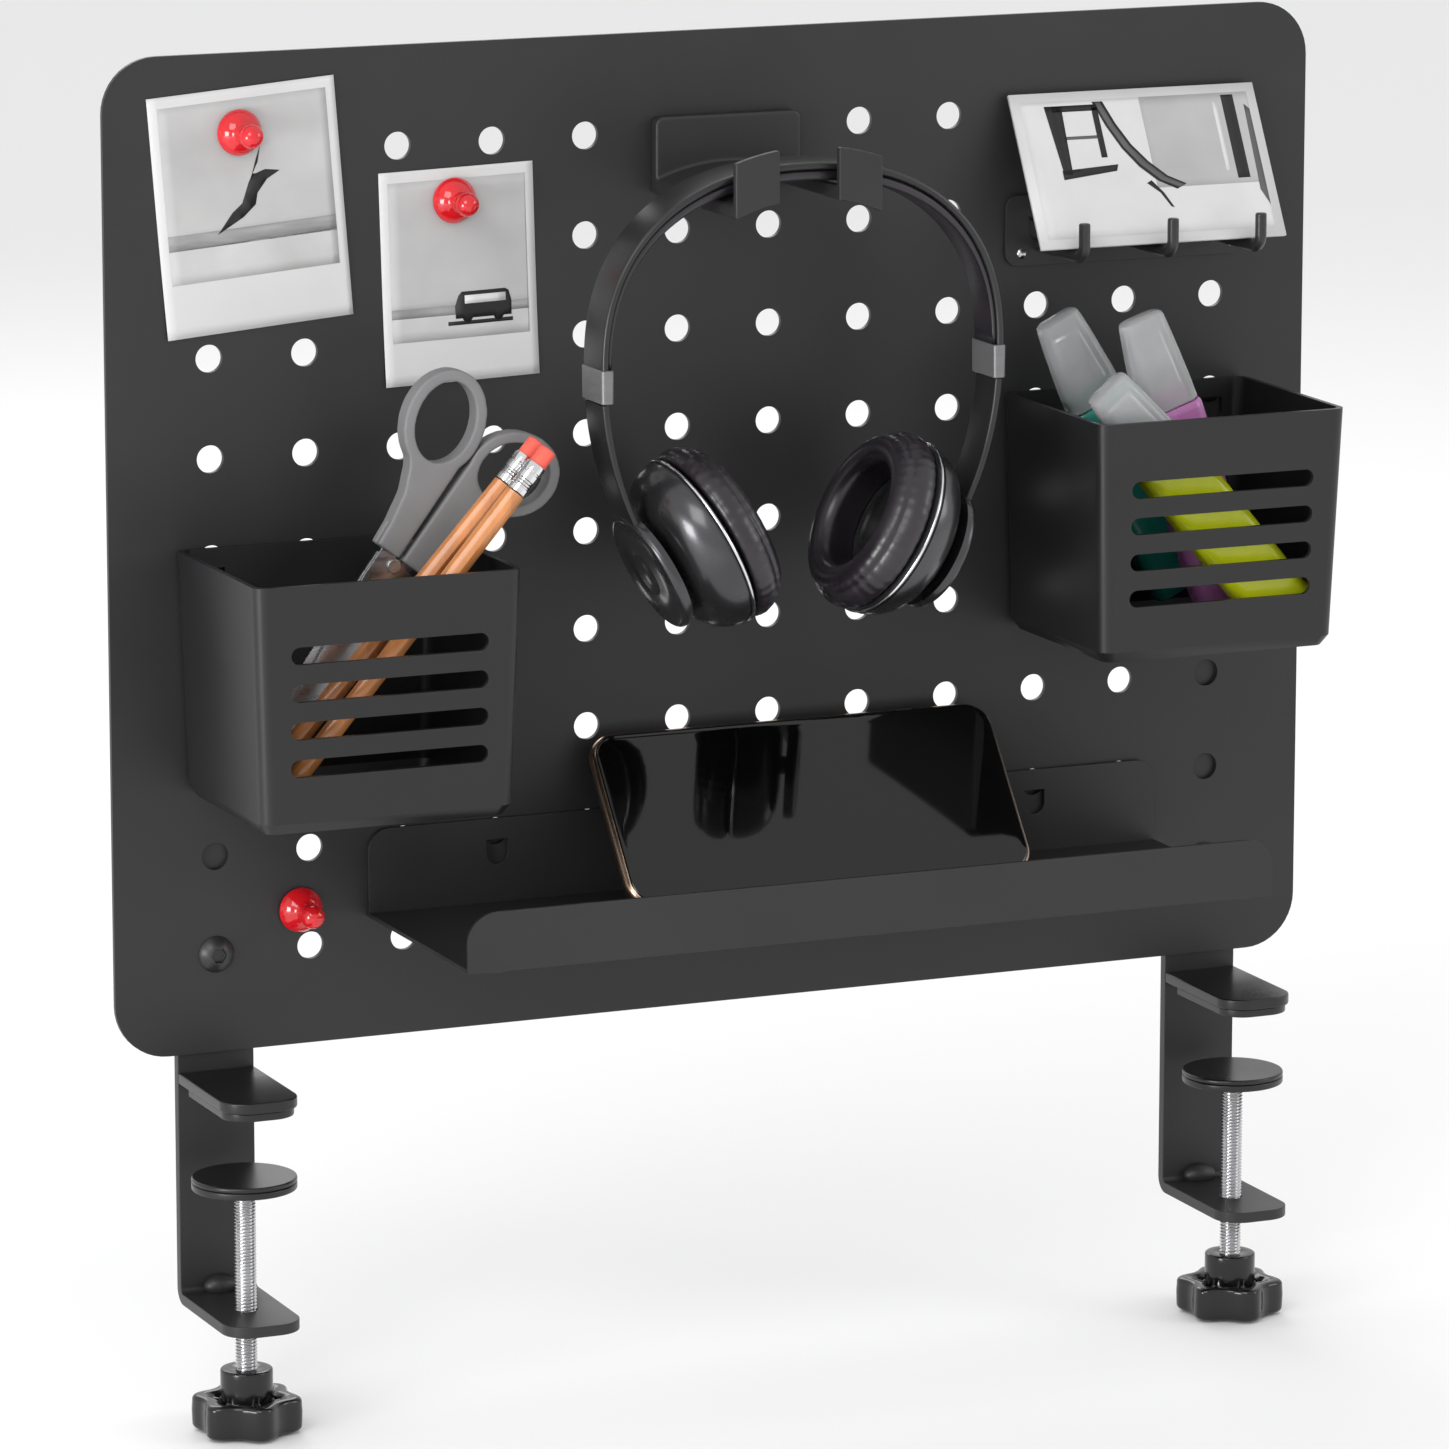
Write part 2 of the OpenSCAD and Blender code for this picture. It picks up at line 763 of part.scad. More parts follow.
module pencil_b_ferrule() { leaning(pencil_b_foot, pencil_b_turn) pencil_ferrule(); }

module pencil_b_eraser() { leaning(pencil_b_foot, pencil_b_turn) pencil_eraser(); }

// ---- highlighters ----

module pen_body(shade) {
    neck = 8;
    color(shade) {
        linear_extrude(pen_len - cap_len) round_rect(pen_w, pen_t, 3);
        translate([0, 0, pen_len - cap_len - 0.1]) linear_extrude(neck + 0.1) round_rect(pen_w - 9, pen_t - 6, 2);
    }
}

module pen_cap() {
    color("#9c9ea0") translate([0, 0, pen_len - cap_len + 0.3]) difference() {
        hull() {
            linear_extrude(0.1) round_rect(pen_w - 1.6, pen_t - 1, 3, $fn = hull_fn);
            translate([0, 0, cap_len - 0.1]) linear_extrude(0.1)
                round_rect(pen_w - 8, pen_t - 4.5, 3, $fn = hull_fn);
        }
        translate([0, 0, -1]) linear_extrude(cap_len - 6) round_rect(pen_w - 8.4, pen_t - 5.4, 2);
    }
}

module teal_pen() { leaning(teal_foot, teal_turn) pen_body("#2c8c7a"); }

module teal_pen_cap() { leaning(teal_foot, teal_turn) pen_cap(); }

module pink_pen() { leaning(pink_foot, pink_turn) pen_body("#b07aa8"); }

module pink_pen_cap() { leaning(pink_foot, pink_turn) pen_cap(); }

module yellow_pen() { leaning(yellow_foot, yellow_turn) pen_body("#b9c21c"); }

module yellow_pen_cap() { leaning(yellow_foot, yellow_turn) pen_cap(); }

// ---- headphones ----

// Outline point of the headband at angle a, for half width r and rise h
function band_point(r, h, a) =
    [r * pow(abs(cos(a)), 2 / band_power) * sign(cos(a)), h * pow(abs(sin(a)), 2 / band_power)];

module headband() {
    ro = band_span / 2;
    ri = ro - band_t;
    steps = 48;
    color("#28282a") translate([phones_x, 0, band_z]) difference() {
        upright(phones_y - band_w / 2, band_w) polygon(concat(
            [for (i = [0 : steps]) band_point(ro, band_rise, i * 180 / steps)],
            [for (i = [steps : -1 : 0]) band_point(ri, band_rise - band_crown_t, i * 180 / steps)]
        ));
        for (s = [-1, 1])
            translate([s * (ro - band_t / 2) - 0.9, phones_y - 6.5, -1]) cube([1.8, 13, tongue_len + 2]);
    }
}

module band_ends() {
    ro = band_span / 2;
    color("#8d8f91") translate([phones_x, phones_y, band_z]) for (s = [-1, 1])
        translate([s * (ro - band_t / 2), 0, -band_end_h]) difference() {
            linear_extrude(band_end_h) round_rect(band_t + 1.2, band_w + 1, 2);
            translate([-0.9, -6.5, -1]) cube([1.8, 13, band_end_h + 2]);
        }
}

// Middle of the outer plate, from the arm's upper end, and the curve that leads to it
plate_at = cup_z + (shell_t + plate_gap + plate_t / 2) * -sin(cup_tilt);
plate_off = cup_x + (shell_t + plate_gap + plate_t / 2) * cos(cup_tilt);
arm_top_x = band_span / 2 - band_t / 2;
arm_top_z = band_z - band_end_h - 0.5;
arm_p2 = [arm_top_x - plate_off - 20 * sin(cup_tilt), plate_at + 20 * cos(cup_tilt) - arm_top_z];
arm_p1 = [arm_p2[0] - 23 * sin(cup_tilt), arm_p2[1] + 23 * cos(cup_tilt)];

function arm_point(t) =
    t <= 1
    ? 2 * t * (1 - t) * arm_p1 + t * t * arm_p2
    : arm_p2 + (t - 1) * 20 * [sin(cup_tilt), -cos(cup_tilt)];

function arm_edge(t, side) =
    let (d = arm_point(t + 0.01) - arm_point(t - 0.01), n = [d[1], -d[0]] / norm(d))
    arm_point(t) + side * n * arm_t / 2;

module cup_place(s) {
    translate([phones_x + s * cup_x, phones_y, cup_z]) rotate([0, -s * (90 - cup_tilt), 0]) children();
}

module arm(s) {
    steps = 16;
    color("#1c1c1e") difference() {
        union() {
            translate([phones_x + s * arm_top_x, 0, arm_top_z]) {
                upright(phones_y - arm_w / 2, arm_w) scale([-s, 1]) polygon(concat(
                    [for (i = [0 : steps]) arm_edge(2 * i / steps, 1)],
                    [for (i = [steps : -1 : 0]) arm_edge(2 * i / steps, -1)]
                ));
                translate([-0.6, phones_y - 6, -1]) cube([1.2, 12, band_end_h + tongue_len + 1]);
            }
            cup_place(s) translate([0, 0, -shell_t - plate_gap - plate_t]) cylinder(d = plate_d, h = plate_t);
        }
        cup_place(s) translate([0, 0, -shell_t - plate_gap - 3]) cylinder(d = post_d + 2, h = 4);
    }
}

module cup(s) {
    color("#1f1f21") cup_place(s) {
        rotate_extrude() difference() {
            union() {
                translate([0, -shell_t]) square([cup_d / 2 - 9, shell_t]);
                translate([0, -shell_t + 8]) square([cup_d / 2 - 1, shell_t - 8]);
                intersection() {
                    translate([cup_d / 2 - 9, -shell_t + 8]) circle(8);
                    translate([0, -shell_t]) square([cup_d, shell_t]);
                }
            }
            translate([-1, -2]) square([ear_d / 2 + 1, 3]);
        }
        translate([0, 0, -shell_t - plate_gap - 2]) cylinder(d = post_d, h = plate_gap + 2.5);
    }
}

module cushion(s) {
    ring = (cup_d - ear_d) / 2;
    color("#232225") cup_place(s) translate([0, 0, 0.05]) rotate_extrude() translate([ear_d / 2, 0])
        union() {
            square([ring, cushion_t - 5]);
            translate([5, 0]) square([ring - 10, cushion_t]);
            for (x = [5, ring - 5]) translate([x, cushion_t - 5]) circle(5);
        }
}

module arm_left() { arm(-1); }

module arm_right() { arm(1); }

module cup_left() { cup(-1); }

module cup_right() { cup(1); }

module cushion_left() { cushion(-1); }

module cushion_right() { cushion(1); }

// ---- phone ----

module phone_place() {
    translate(phone_foot) rotate([-phone_lean, 0, 0]) translate([0, 0, phone_h / 2]) children();
}

module phone_frame() {
    color("#8a7360") phone_place() difference() {
        upright(0, phone_t) round_rect(phone_w, phone_h, phone_r);
        upright(-1, 1 + screen_t) round_rect(phone_w - 3, phone_h - 3, phone_r - 1.5);
    }
}

module phone_screen() {
    color("#060607") phone_place() upright(0, screen_t) round_rect(phone_w - 3, phone_h - 3, phone_r - 1.5);
}

panel();
bracket(-clamp_x);  // left_bracket
upper_jaw(-clamp_x);  // left_upper_jaw
jaw_pad(-clamp_x);  // left_jaw_pad
pressure_disc(-clamp_x);  // left_pressure_disc
disc_pad(-clamp_x);  // left_disc_pad
clamp_screw(-clamp_x);  // left_clamp_screw
knob(-clamp_x);  // left_knob
bracket(clamp_x);  // right_bracket
upper_jaw(clamp_x);  // right_upper_jaw
jaw_pad(clamp_x);  // right_jaw_pad
pressure_disc(clamp_x);  // right_pressure_disc
disc_pad(clamp_x);  // right_disc_pad
clamp_screw(clamp_x);  // right_clamp_screw
knob(clamp_x);  // right_knob
panel_bolts();
panel_nuts();
left_bin();
right_bin();
tray();
headphone_hook();
triple_hook_plate();
triple_hook_rods();
triple_hook_rivets();
pin_upper();
pin_upper_magnet();
pin_middle();
pin_middle_magnet();
pin_lower();
pin_lower_magnet();
large_print();
small_print();
picture_card();
scissor_handle_a();
scissor_blade_a();
scissor_handle_b();
scissor_blade_b();
scissor_pivot();
pencil_a();
pencil_a_ferrule();
pencil_a_eraser();
pencil_b();
pencil_b_ferrule();
pencil_b_eraser();
teal_pen();
teal_pen_cap();
pink_pen();
pink_pen_cap();
yellow_pen();
yellow_pen_cap();
headband();
band_ends();
arm_left();
arm_right();
cup_left();
cup_right();
cushion_left();
cushion_right();
phone_frame();
phone_screen();
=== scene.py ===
# %% [markdown]
# # A pegboard tool wall, clamped to a desk
# A perforated steel panel stands on two screw clamps and carries bins, a tray and hooks.
# The engineering model comes in first as a fixed frame of named pieces and bodies.
# Everything after it gives those pieces the shapes and finishes of the real ones.

# %% Load the frame
import json
import math

import bmesh
import bpy
from mathutils import Matrix, Vector


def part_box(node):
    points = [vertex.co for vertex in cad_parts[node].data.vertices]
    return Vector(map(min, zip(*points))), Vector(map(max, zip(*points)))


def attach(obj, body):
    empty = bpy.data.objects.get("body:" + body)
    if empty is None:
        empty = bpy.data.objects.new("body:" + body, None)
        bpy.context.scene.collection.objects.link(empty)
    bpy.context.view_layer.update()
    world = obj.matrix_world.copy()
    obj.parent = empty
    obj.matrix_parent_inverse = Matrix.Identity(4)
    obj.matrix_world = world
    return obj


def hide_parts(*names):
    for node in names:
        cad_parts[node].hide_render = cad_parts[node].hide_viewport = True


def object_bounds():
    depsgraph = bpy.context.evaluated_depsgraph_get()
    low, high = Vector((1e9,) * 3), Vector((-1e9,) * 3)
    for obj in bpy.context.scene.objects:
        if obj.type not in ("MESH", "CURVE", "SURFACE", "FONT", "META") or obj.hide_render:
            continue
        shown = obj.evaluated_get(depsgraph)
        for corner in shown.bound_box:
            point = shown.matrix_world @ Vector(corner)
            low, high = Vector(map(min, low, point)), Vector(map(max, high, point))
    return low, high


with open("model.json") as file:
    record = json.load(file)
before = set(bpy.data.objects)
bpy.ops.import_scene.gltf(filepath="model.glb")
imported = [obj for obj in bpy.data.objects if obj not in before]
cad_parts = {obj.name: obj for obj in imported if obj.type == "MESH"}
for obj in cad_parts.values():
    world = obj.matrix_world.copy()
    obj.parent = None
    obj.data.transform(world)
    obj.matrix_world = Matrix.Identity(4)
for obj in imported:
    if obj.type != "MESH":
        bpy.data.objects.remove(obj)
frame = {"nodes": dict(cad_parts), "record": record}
cad_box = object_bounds()
bodies_record = frame["record"]["behaviour"]["bodies"]
body_of = {node: body for body, nodes in bodies_record.items() for node in nodes}
slot_of = {part["node"]: part["material_slot"] for part in frame["record"]["subparts"]}

# %% [markdown]
# ## The camera
# A long lens flattens the perspective, as in a product picture. Setting the camera's
# matrix from its right, up and forward directions is exact, where aiming by hand is not.

# %% Place the camera
camera_data = bpy.data.cameras.new("product_camera")
camera_data.sensor_width = 36.0
camera_data.lens = 197.72
camera_data.clip_end = 30.0
camera = bpy.data.objects.new("product_camera", camera_data)
bpy.context.collection.objects.link(camera)
right = Vector((0.917346587, -0.39808906, 0.000582719))
up = Vector((0.07943276, 0.18447685, 0.97962173))
ahead = right.cross(up) * -1.0
camera.matrix_world = Matrix.Translation((-1.137918, -2.622807, 0.704245)) @ Matrix(
    (right, up, -ahead)
).transposed().to_4x4()
bpy.context.scene.camera = camera
print("camera", [round(v, 3) for v in camera.location])

# %% [markdown]
# ## The studio
# A pale floor, a bright even surround and two large soft lights: black metal shows its
# form by what it reflects, so broad lights matter more than strong ones.

# %% Floor, surround and lights
scene = bpy.context.scene
scene.view_settings.view_transform = "Standard"
world = bpy.data.worlds.new("studio_surround")
world.use_nodes = True
world.node_tree.nodes["Background"].inputs["Color"].default_value = (1.0, 1.0, 1.0, 1.0)
world.node_tree.nodes["Background"].inputs["Strength"].default_value = 0.86
scene.world = world

FLOOR_Z = cad_box[0][2] - 0.001
floor_mesh = bpy.data.meshes.new("studio_floor")
floor_mesh.from_pydata(
    [(-9, -9, FLOOR_Z), (9, -9, FLOOR_Z), (9, 9, FLOOR_Z), (-9, 9, FLOOR_Z)], [], [(0, 1, 2, 3)]
)
floor = bpy.data.objects.new("studio_floor", floor_mesh)
bpy.context.collection.objects.link(floor)
floor_paint = bpy.data.materials.new("pale_floor")
floor_paint.use_nodes = True
floor_paint.node_tree.nodes["Principled BSDF"].inputs["Base Color"].default_value = (0.93, 0.93, 0.93, 1)
floor_paint.node_tree.nodes["Principled BSDF"].inputs["Roughness"].default_value = 0.8
floor_mesh.materials.append(floor_paint)


def soft_light(name, place, size, watts):
    """A square area light at place, turned towards the middle of the panel."""
    data = bpy.data.lights.new(name, "AREA")
    data.size = size
    data.energy = watts
    light = bpy.data.objects.new(name, data)
    bpy.context.collection.objects.link(light)
    light.location = place
    light.rotation_euler = (Vector((0, 0, 0.12)) - Vector(place)).to_track_quat("-Z", "Y").to_euler()
    return light


soft_light("key_light", (-1.5, -1.6, 1.5), 1.1, 16)
soft_light("side_light", (1.9, -1.2, 0.9), 0.9, 7)
soft_light("back_light", (0.3, 1.9, 1.4), 1.2, 10)
soft_light("edge_light", (-1.75, -0.75, 0.2), 0.55, 14)
print("floor at", round(FLOOR_Z, 4))

# %% [markdown]
# ## Finishes
# Every finish is a Principled shader driven by noise: broad noise drifts the colour and
# the roughness, fine noise raises the grain. One maker writes the nodes, and each finish
# only states its numbers, so that they are easy to compare and to tune.

# %% A maker of finishes
def finish(name, colour, drift=0.15, rough=(0.4, 0.5), grain=0.0, grain_size=0.3, broad=40.0,
           stretch=(1, 1, 1), **shader):
    """A material with a drifting colour, a roughness range and a raised grain (grain_size in mm)."""
    paint = bpy.data.materials.new(name)
    paint.use_nodes = True
    nodes, links = paint.node_tree.nodes, paint.node_tree.links
    surface = nodes["Principled BSDF"]
    place = nodes.new("ShaderNodeTexCoord")
    scale = nodes.new("ShaderNodeMapping")
    scale.inputs["Scale"].default_value = stretch
    links.new(place.outputs["Object"], scale.inputs["Vector"])
    wide = nodes.new("ShaderNodeTexNoise")
    wide.inputs["Scale"].default_value = broad
    wide.inputs["Detail"].default_value = 4.0
    links.new(scale.outputs["Vector"], wide.inputs["Vector"])
    tint = nodes.new("ShaderNodeValToRGB")
    tint.color_ramp.elements[0].position = 0.3
    tint.color_ramp.elements[1].position = 0.7
    tint.color_ramp.elements[0].color = (*[c * (1 - drift) for c in colour], 1)
    tint.color_ramp.elements[1].color = (*[min(1, c * (1 + drift)) for c in colour], 1)
    links.new(wide.outputs["Fac"], tint.inputs["Fac"])
    links.new(tint.outputs["Color"], surface.inputs["Base Color"])
    span = nodes.new("ShaderNodeMapRange")
    span.inputs["From Min"].default_value = 0.3
    span.inputs["From Max"].default_value = 0.7
    span.inputs["To Min"].default_value = rough[0]
    span.inputs["To Max"].default_value = rough[1]
    links.new(wide.outputs["Fac"], span.inputs["Value"])
    links.new(span.outputs["Result"], surface.inputs["Roughness"])
    if grain:
        fine = nodes.new("ShaderNodeTexNoise")
        fine.inputs["Scale"].default_value = 1000.0 / grain_size
        fine.inputs["Detail"].default_value = 2.0
        links.new(scale.outputs["Vector"], fine.inputs["Vector"])
        bump = nodes.new("ShaderNodeBump")
        bump.inputs["Strength"].default_value = grain
        bump.inputs["Distance"].default_value = 0.0001
        links.new(fine.outputs["Fac"], bump.inputs["Height"])
        links.new(bump.outputs["Normal"], surface.inputs["Normal"])
    for socket, value in shader.items():
        surface.inputs[socket.replace("_", " ")].default_value = value
    return paint


# %% The finishes of the wall and of its tools
FINISHES = {
    "powder_coat": finish("powder_coat", (0.019, 0.019, 0.020), 0.1, (0.38, 0.46), 0.3, 0.35, 18,
                          Specular_IOR_Level=0.42),
    "bin_shell": finish("bin_shell", (0.012, 0.012, 0.013), 0.1, (0.34, 0.42), 0.25, 0.3, 18,
                        Specular_IOR_Level=0.42),
    "clamp_coat": finish("clamp_coat", (0.007, 0.007, 0.008), 0.15, (0.26, 0.34), 0.15, 0.35, 30),
    "black_rubber": finish("black_rubber", (0.011, 0.011, 0.011), 0.2, (0.6, 0.75), 0.4, 0.25, 60),
    "zinc_steel": finish("zinc_steel", (0.6, 0.6, 0.61), 0.08, (0.2, 0.3), 0.03, 0.4, 60, Metallic=1.0),
    "black_steel": finish("black_steel", (0.02, 0.02, 0.021), 0.15, (0.3, 0.4), 0.2, 0.3, 60),
    "knob_plastic": finish("knob_plastic", (0.006, 0.006, 0.006), 0.2, (0.1, 0.2), 0.08, 0.8, 50),
    "pin_plastic": finish("pin_plastic", (0.6, 0.008, 0.014), 0.12, (0.08, 0.16), 0.05, 0.8, 90,
                          Coat_Weight=0.4, Coat_Roughness=0.05),
    "magnet": finish("magnet", (0.55, 0.55, 0.56), 0.1, (0.25, 0.35), 0.1, 0.4, 120, Metallic=1.0),
    "print_paper": finish("print_paper", (0.56, 0.56, 0.56), 0.03, (0.4, 0.5), 0.08, 0.5, 30),
    "card_board": finish("card_board", (0.66, 0.66, 0.66), 0.03, (0.35, 0.45), 0.08, 0.5, 30),
    "grey_plastic": finish("grey_plastic", (0.19, 0.19, 0.195), 0.06, (0.45, 0.55), 0.25, 0.3, 60),
    "blade_steel": finish("blade_steel", (0.5, 0.51, 0.53), 0.08, (0.24, 0.34), 0.04, 0.6, 60,
                          (1, 1, 6), Metallic=1.0),
    "pencil_wood": finish("pencil_wood", (0.62, 0.24, 0.075), 0.22, (0.25, 0.35), 0.15, 0.5, 120,
                          (1, 1, 0.12), Coat_Weight=0.5, Coat_Roughness=0.12),
    "ferrule": finish("ferrule", (0.8, 0.8, 0.81), 0.08, (0.1, 0.22), 0.1, 0.5, 150, Metallic=1.0),
    "eraser": finish("eraser", (0.78, 0.11, 0.075), 0.08, (0.6, 0.7), 0.3, 0.3, 200),
    "headphone_black": finish("headphone_black", (0.014, 0.014, 0.015), 0.2, (0.26, 0.38), 0.1, 0.3, 30),
    "headphone_gloss": finish("headphone_gloss", (0.07, 0.07, 0.074), 0.3, (0.22, 0.32), 0.04, 1.5, 30,
                              Metallic=0.8, Coat_Weight=0.3, Coat_Roughness=0.1),
    "cushion_leather": finish("cushion_leather", (0.013, 0.010, 0.014), 0.4, (0.26, 0.42), 0.35, 0.5, 45,
                              Coat_Weight=0.25, Coat_Roughness=0.25),
    "silver_trim": finish("silver_trim", (0.19, 0.19, 0.195), 0.08, (0.3, 0.4), 0.1, 0.3, 100,
                          (1, 1, 8), Metallic=0.45),
    "phone_metal": finish("phone_metal", (0.42, 0.3, 0.22), 0.06, (0.2, 0.3), 0.08, 0.3, 80, Metallic=1.0),
    "phone_glass": finish("phone_glass", (0.002, 0.002, 0.002), 0.2, (0.03, 0.07), 0.0, 1.0, 12),
    "teal_plastic": finish("teal_plastic", (0.02, 0.26, 0.2), 0.1, (0.2, 0.3), 0.1, 0.6, 60),
    "pink_plastic": finish("pink_plastic", (0.42, 0.15, 0.38), 0.1, (0.2, 0.3), 0.1, 0.6, 60),
    "yellow_plastic": finish("yellow_plastic", (0.56, 0.62, 0.01), 0.08, (0.2, 0.3), 0.1, 0.6, 60),
    "cap_plastic": finish("cap_plastic", (0.7, 0.71, 0.72), 0.06, (0.14, 0.24), 0.03, 0.8, 60,
                          Transmission_Weight=0.62, IOR=1.4),
}
print(len(FINISHES), "finishes")

# %% [markdown]
# ## Folded and cut sheet
# Punched and bent steel has small rounded edges, and those edges catch the light. The
# shape itself is right in the frame, so each sheet piece is copied, its flat faces are
# joined back together, and a bevel rounds only the sharp edges.

# %% Pieces with softened edges
def put(piece, *nodes, slot=None, smooth=True):
    """Links a piece to the scene and gives it the finish of the node it stands for."""
    bpy.context.collection.objects.link(piece)
    slot = slot or slot_of[nodes[0]]
    if not piece.data.materials:
        piece.data.materials.append(FINISHES[slot])
    if smooth:
        piece.data.polygons.foreach_set("use_smooth", [True] * len(piece.data.polygons))
    return piece


def softened(node, width_mm, segments=2, angle=32):
    """Copies a node, joins its flat faces and rounds its sharp edges by width_mm."""
    work = bmesh.new()
    work.from_mesh(frame["nodes"][node].data)
    bmesh.ops.remove_doubles(work, verts=work.verts, dist=1e-6)
    bmesh.ops.dissolve_limit(work, angle_limit=math.radians(0.6), verts=work.verts, edges=work.edges)
    mesh = bpy.data.meshes.new(node + "_soft")
    work.to_mesh(mesh)
    work.free()
    for old in ("custom_normal", "sharp_edge", "sharp_face"):
        if mesh.attributes.get(old):
            mesh.attributes.remove(mesh.attributes[old])
    piece = put(bpy.data.objects.new(node + "_soft", mesh), node)
    bevel = piece.modifiers.new("rounded_edges", "BEVEL")
    bevel.width = width_mm / 1000
    bevel.segments = segments
    bevel.limit_method = "ANGLE"
    bevel.angle_limit = math.radians(angle)
    even = piece.modifiers.new("even_shading", "WEIGHTED_NORMAL")
    even.weight = 100
    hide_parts(node)
    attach(piece, body_of[node])
    return piece


SOFT_EDGES = {
    "panel": 0.35, "left_bracket": 0.6, "right_bracket": 0.6, "left_upper_jaw": 0.6,
    "right_upper_jaw": 0.6, "left_jaw_pad": 0.5, "right_jaw_pad": 0.5,
    "left_pressure_disc": 0.5, "right_pressure_disc": 0.5, "left_disc_pad": 0.7,
    "right_disc_pad": 0.7, "panel_bolts": 0.35, "panel_nuts": 0.5, "left_bin": 0.6,
    "right_bin": 0.6, "tray": 0.6, "triple_hook_plate": 0.35,
    "triple_hook_rods": 0.6, "triple_hook_rivets": 0.2, "scissor_blade_a": 0.15, "scissor_blade_b": 0.15,
    "scissor_pivot": 0.3, "pin_upper_magnet": 0.2, "pin_middle_magnet": 0.2,
    "pin_lower_magnet": 0.2,
}
for node, width in SOFT_EDGES.items():
    piece = softened(node, width)
    if "jaw" in node or "disc" in node:
        piece.data.materials[0] = FINISHES["clamp_coat"]
print(len(SOFT_EDGES), "pieces softened")

# %% [markdown]
# ## Moulded handles and the dipped hook
# Scissor handles are moulded and the headphone hook is thickly coated, so no edge on
# them is sharp. A bevel fails where edges are shorter than its width. Remeshing into
# small even cells and then smoothing rounds every edge alike and leaves flats flat.

# %% Pieces rounded all over
HOOK_RISE = 0.0018  # the hook's plate just covers the holes behind it


def rounded_all_over(node, cell_mm, passes):
    """Copies a node, remeshes it in small cells and smooths them."""
    mesh = frame["nodes"][node].data.copy()
    if node == "headphone_hook":
        for point in mesh.vertices:
            if point.co.z > 0.330 and point.co.y < -0.0002:
                point.co.z += HOOK_RISE
    for old in ("custom_normal", "sharp_edge", "sharp_face"):
        if mesh.attributes.get(old):
            mesh.attributes.remove(mesh.attributes[old])
    mesh.materials.clear()
    piece = put(bpy.data.objects.new(node + "_rounded", mesh), node)
    weld = piece.modifiers.new("closed_skin", "WELD")
    weld.merge_threshold = 1e-6
    cells = piece.modifiers.new("even_cells", "REMESH")
    cells.mode = "VOXEL"
    cells.voxel_size = cell_mm / 1000
    cells.use_smooth_shade = True
    smooth = piece.modifiers.new("worn_edges", "SMOOTH")
    smooth.factor = 0.5
    smooth.iterations = passes
    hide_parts(node)
    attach(piece, body_of[node])
    return piece


for node, passes in (("scissor_handle_a", 14), ("scissor_handle_b", 14), ("headphone_hook", 5)):
    rounded_all_over(node, 0.55, passes)
print("handles and hook rounded")

# %% [markdown]
# ## Turned pieces
# Pins, ferrules, erasers and cups are round about one axis. A lathe turns a list of
# radius and height pairs into a smooth mesh, which is lighter and cleaner than a stack
# of cylinders.

# %% A lathe, and a way to stand its work in place
def turned(name, outline, steps=64, radius=None):
    """A mesh of (radius, height) pairs in mm turned about Z. radius(angle, r, h) may reshape a ring."""
    verts, faces = [], []
    for r, h in outline:
        for i in range(steps):
            a = 2 * math.pi * i / steps
            q, dz = radius(a, r, h) if radius else (r, 0.0)
            verts.append((q * math.cos(a) / 1000, q * math.sin(a) / 1000, (h + dz) / 1000))
    for k in range(len(outline) - 1):
        for i in range(steps):
            j = (i + 1) % steps
            faces.append((k * steps + i, k * steps + j, (k + 1) * steps + j, (k + 1) * steps + i))
    faces.append(tuple(reversed(range(steps))))
    faces.append(tuple(range((len(outline) - 1) * steps, len(outline) * steps)))
    mesh = bpy.data.meshes.new(name)
    mesh.from_pydata(verts, [], faces)
    return mesh


def arc(cx, cz, r, start, end, count):
    """Points of an arc in the (radius, height) plane, for a lathe outline."""
    return [
        (cx + r * math.cos(math.radians(start + (end - start) * i / count)),
         cz + r * math.sin(math.radians(start + (end - start) * i / count)))
        for i in range(count + 1)
    ]


def stand(piece, node, matrix, crisp=None):
    """Puts a mesh made about its own Z in place, applied, riding on the node's body."""
    piece.data.transform(matrix)
    piece.data.update()
    put(piece, node)
    if crisp:
        piece.data.set_sharp_from_angle(angle=math.radians(crisp))
    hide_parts(node)
    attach(piece, body_of[node])
    return piece


# %% [markdown]
# ## Magnetic pins
# Each pin is one glossy moulding: a domed flange, a waist and a ball to pull it by.

# %% Pins
PIN_OUTLINE = (
    [(4.6, 0.0), (7.4, 0.0)] + arc(7.2, 1.0, 1.05, -70, 40, 5) + arc(0, -2.2, 8.9, 28, 62, 8)
    + [(3.4, 6.6), (3.0, 7.6), (2.85, 8.8), (2.95, 9.8)] + arc(0, 13.2, 4.3, -42, 88, 14)
)
for node in ("pin_upper", "pin_middle", "pin_lower"):
    low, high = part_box(node)
    centre = ((low[0] + high[0]) / 2, high[1], (low[2] + high[2]) / 2)
    mesh = turned(node + "_moulding", PIN_OUTLINE)
    turn = Matrix.Translation(centre) @ Matrix.Rotation(math.pi / 2, 4, "X")
    stand(bpy.data.objects.new(node + "_moulding", mesh), node, turn)
print("pins turned")

# %% [markdown]
# ## Clamp screws and knobs
# The screws carry a real thread, one strip that winds down the shank, because it is what
# the eye looks for between disc and arm. The knobs are six-lobed mouldings: each face is
# slightly hollow, the corners are round, and ribs run in from the corners to the collar.

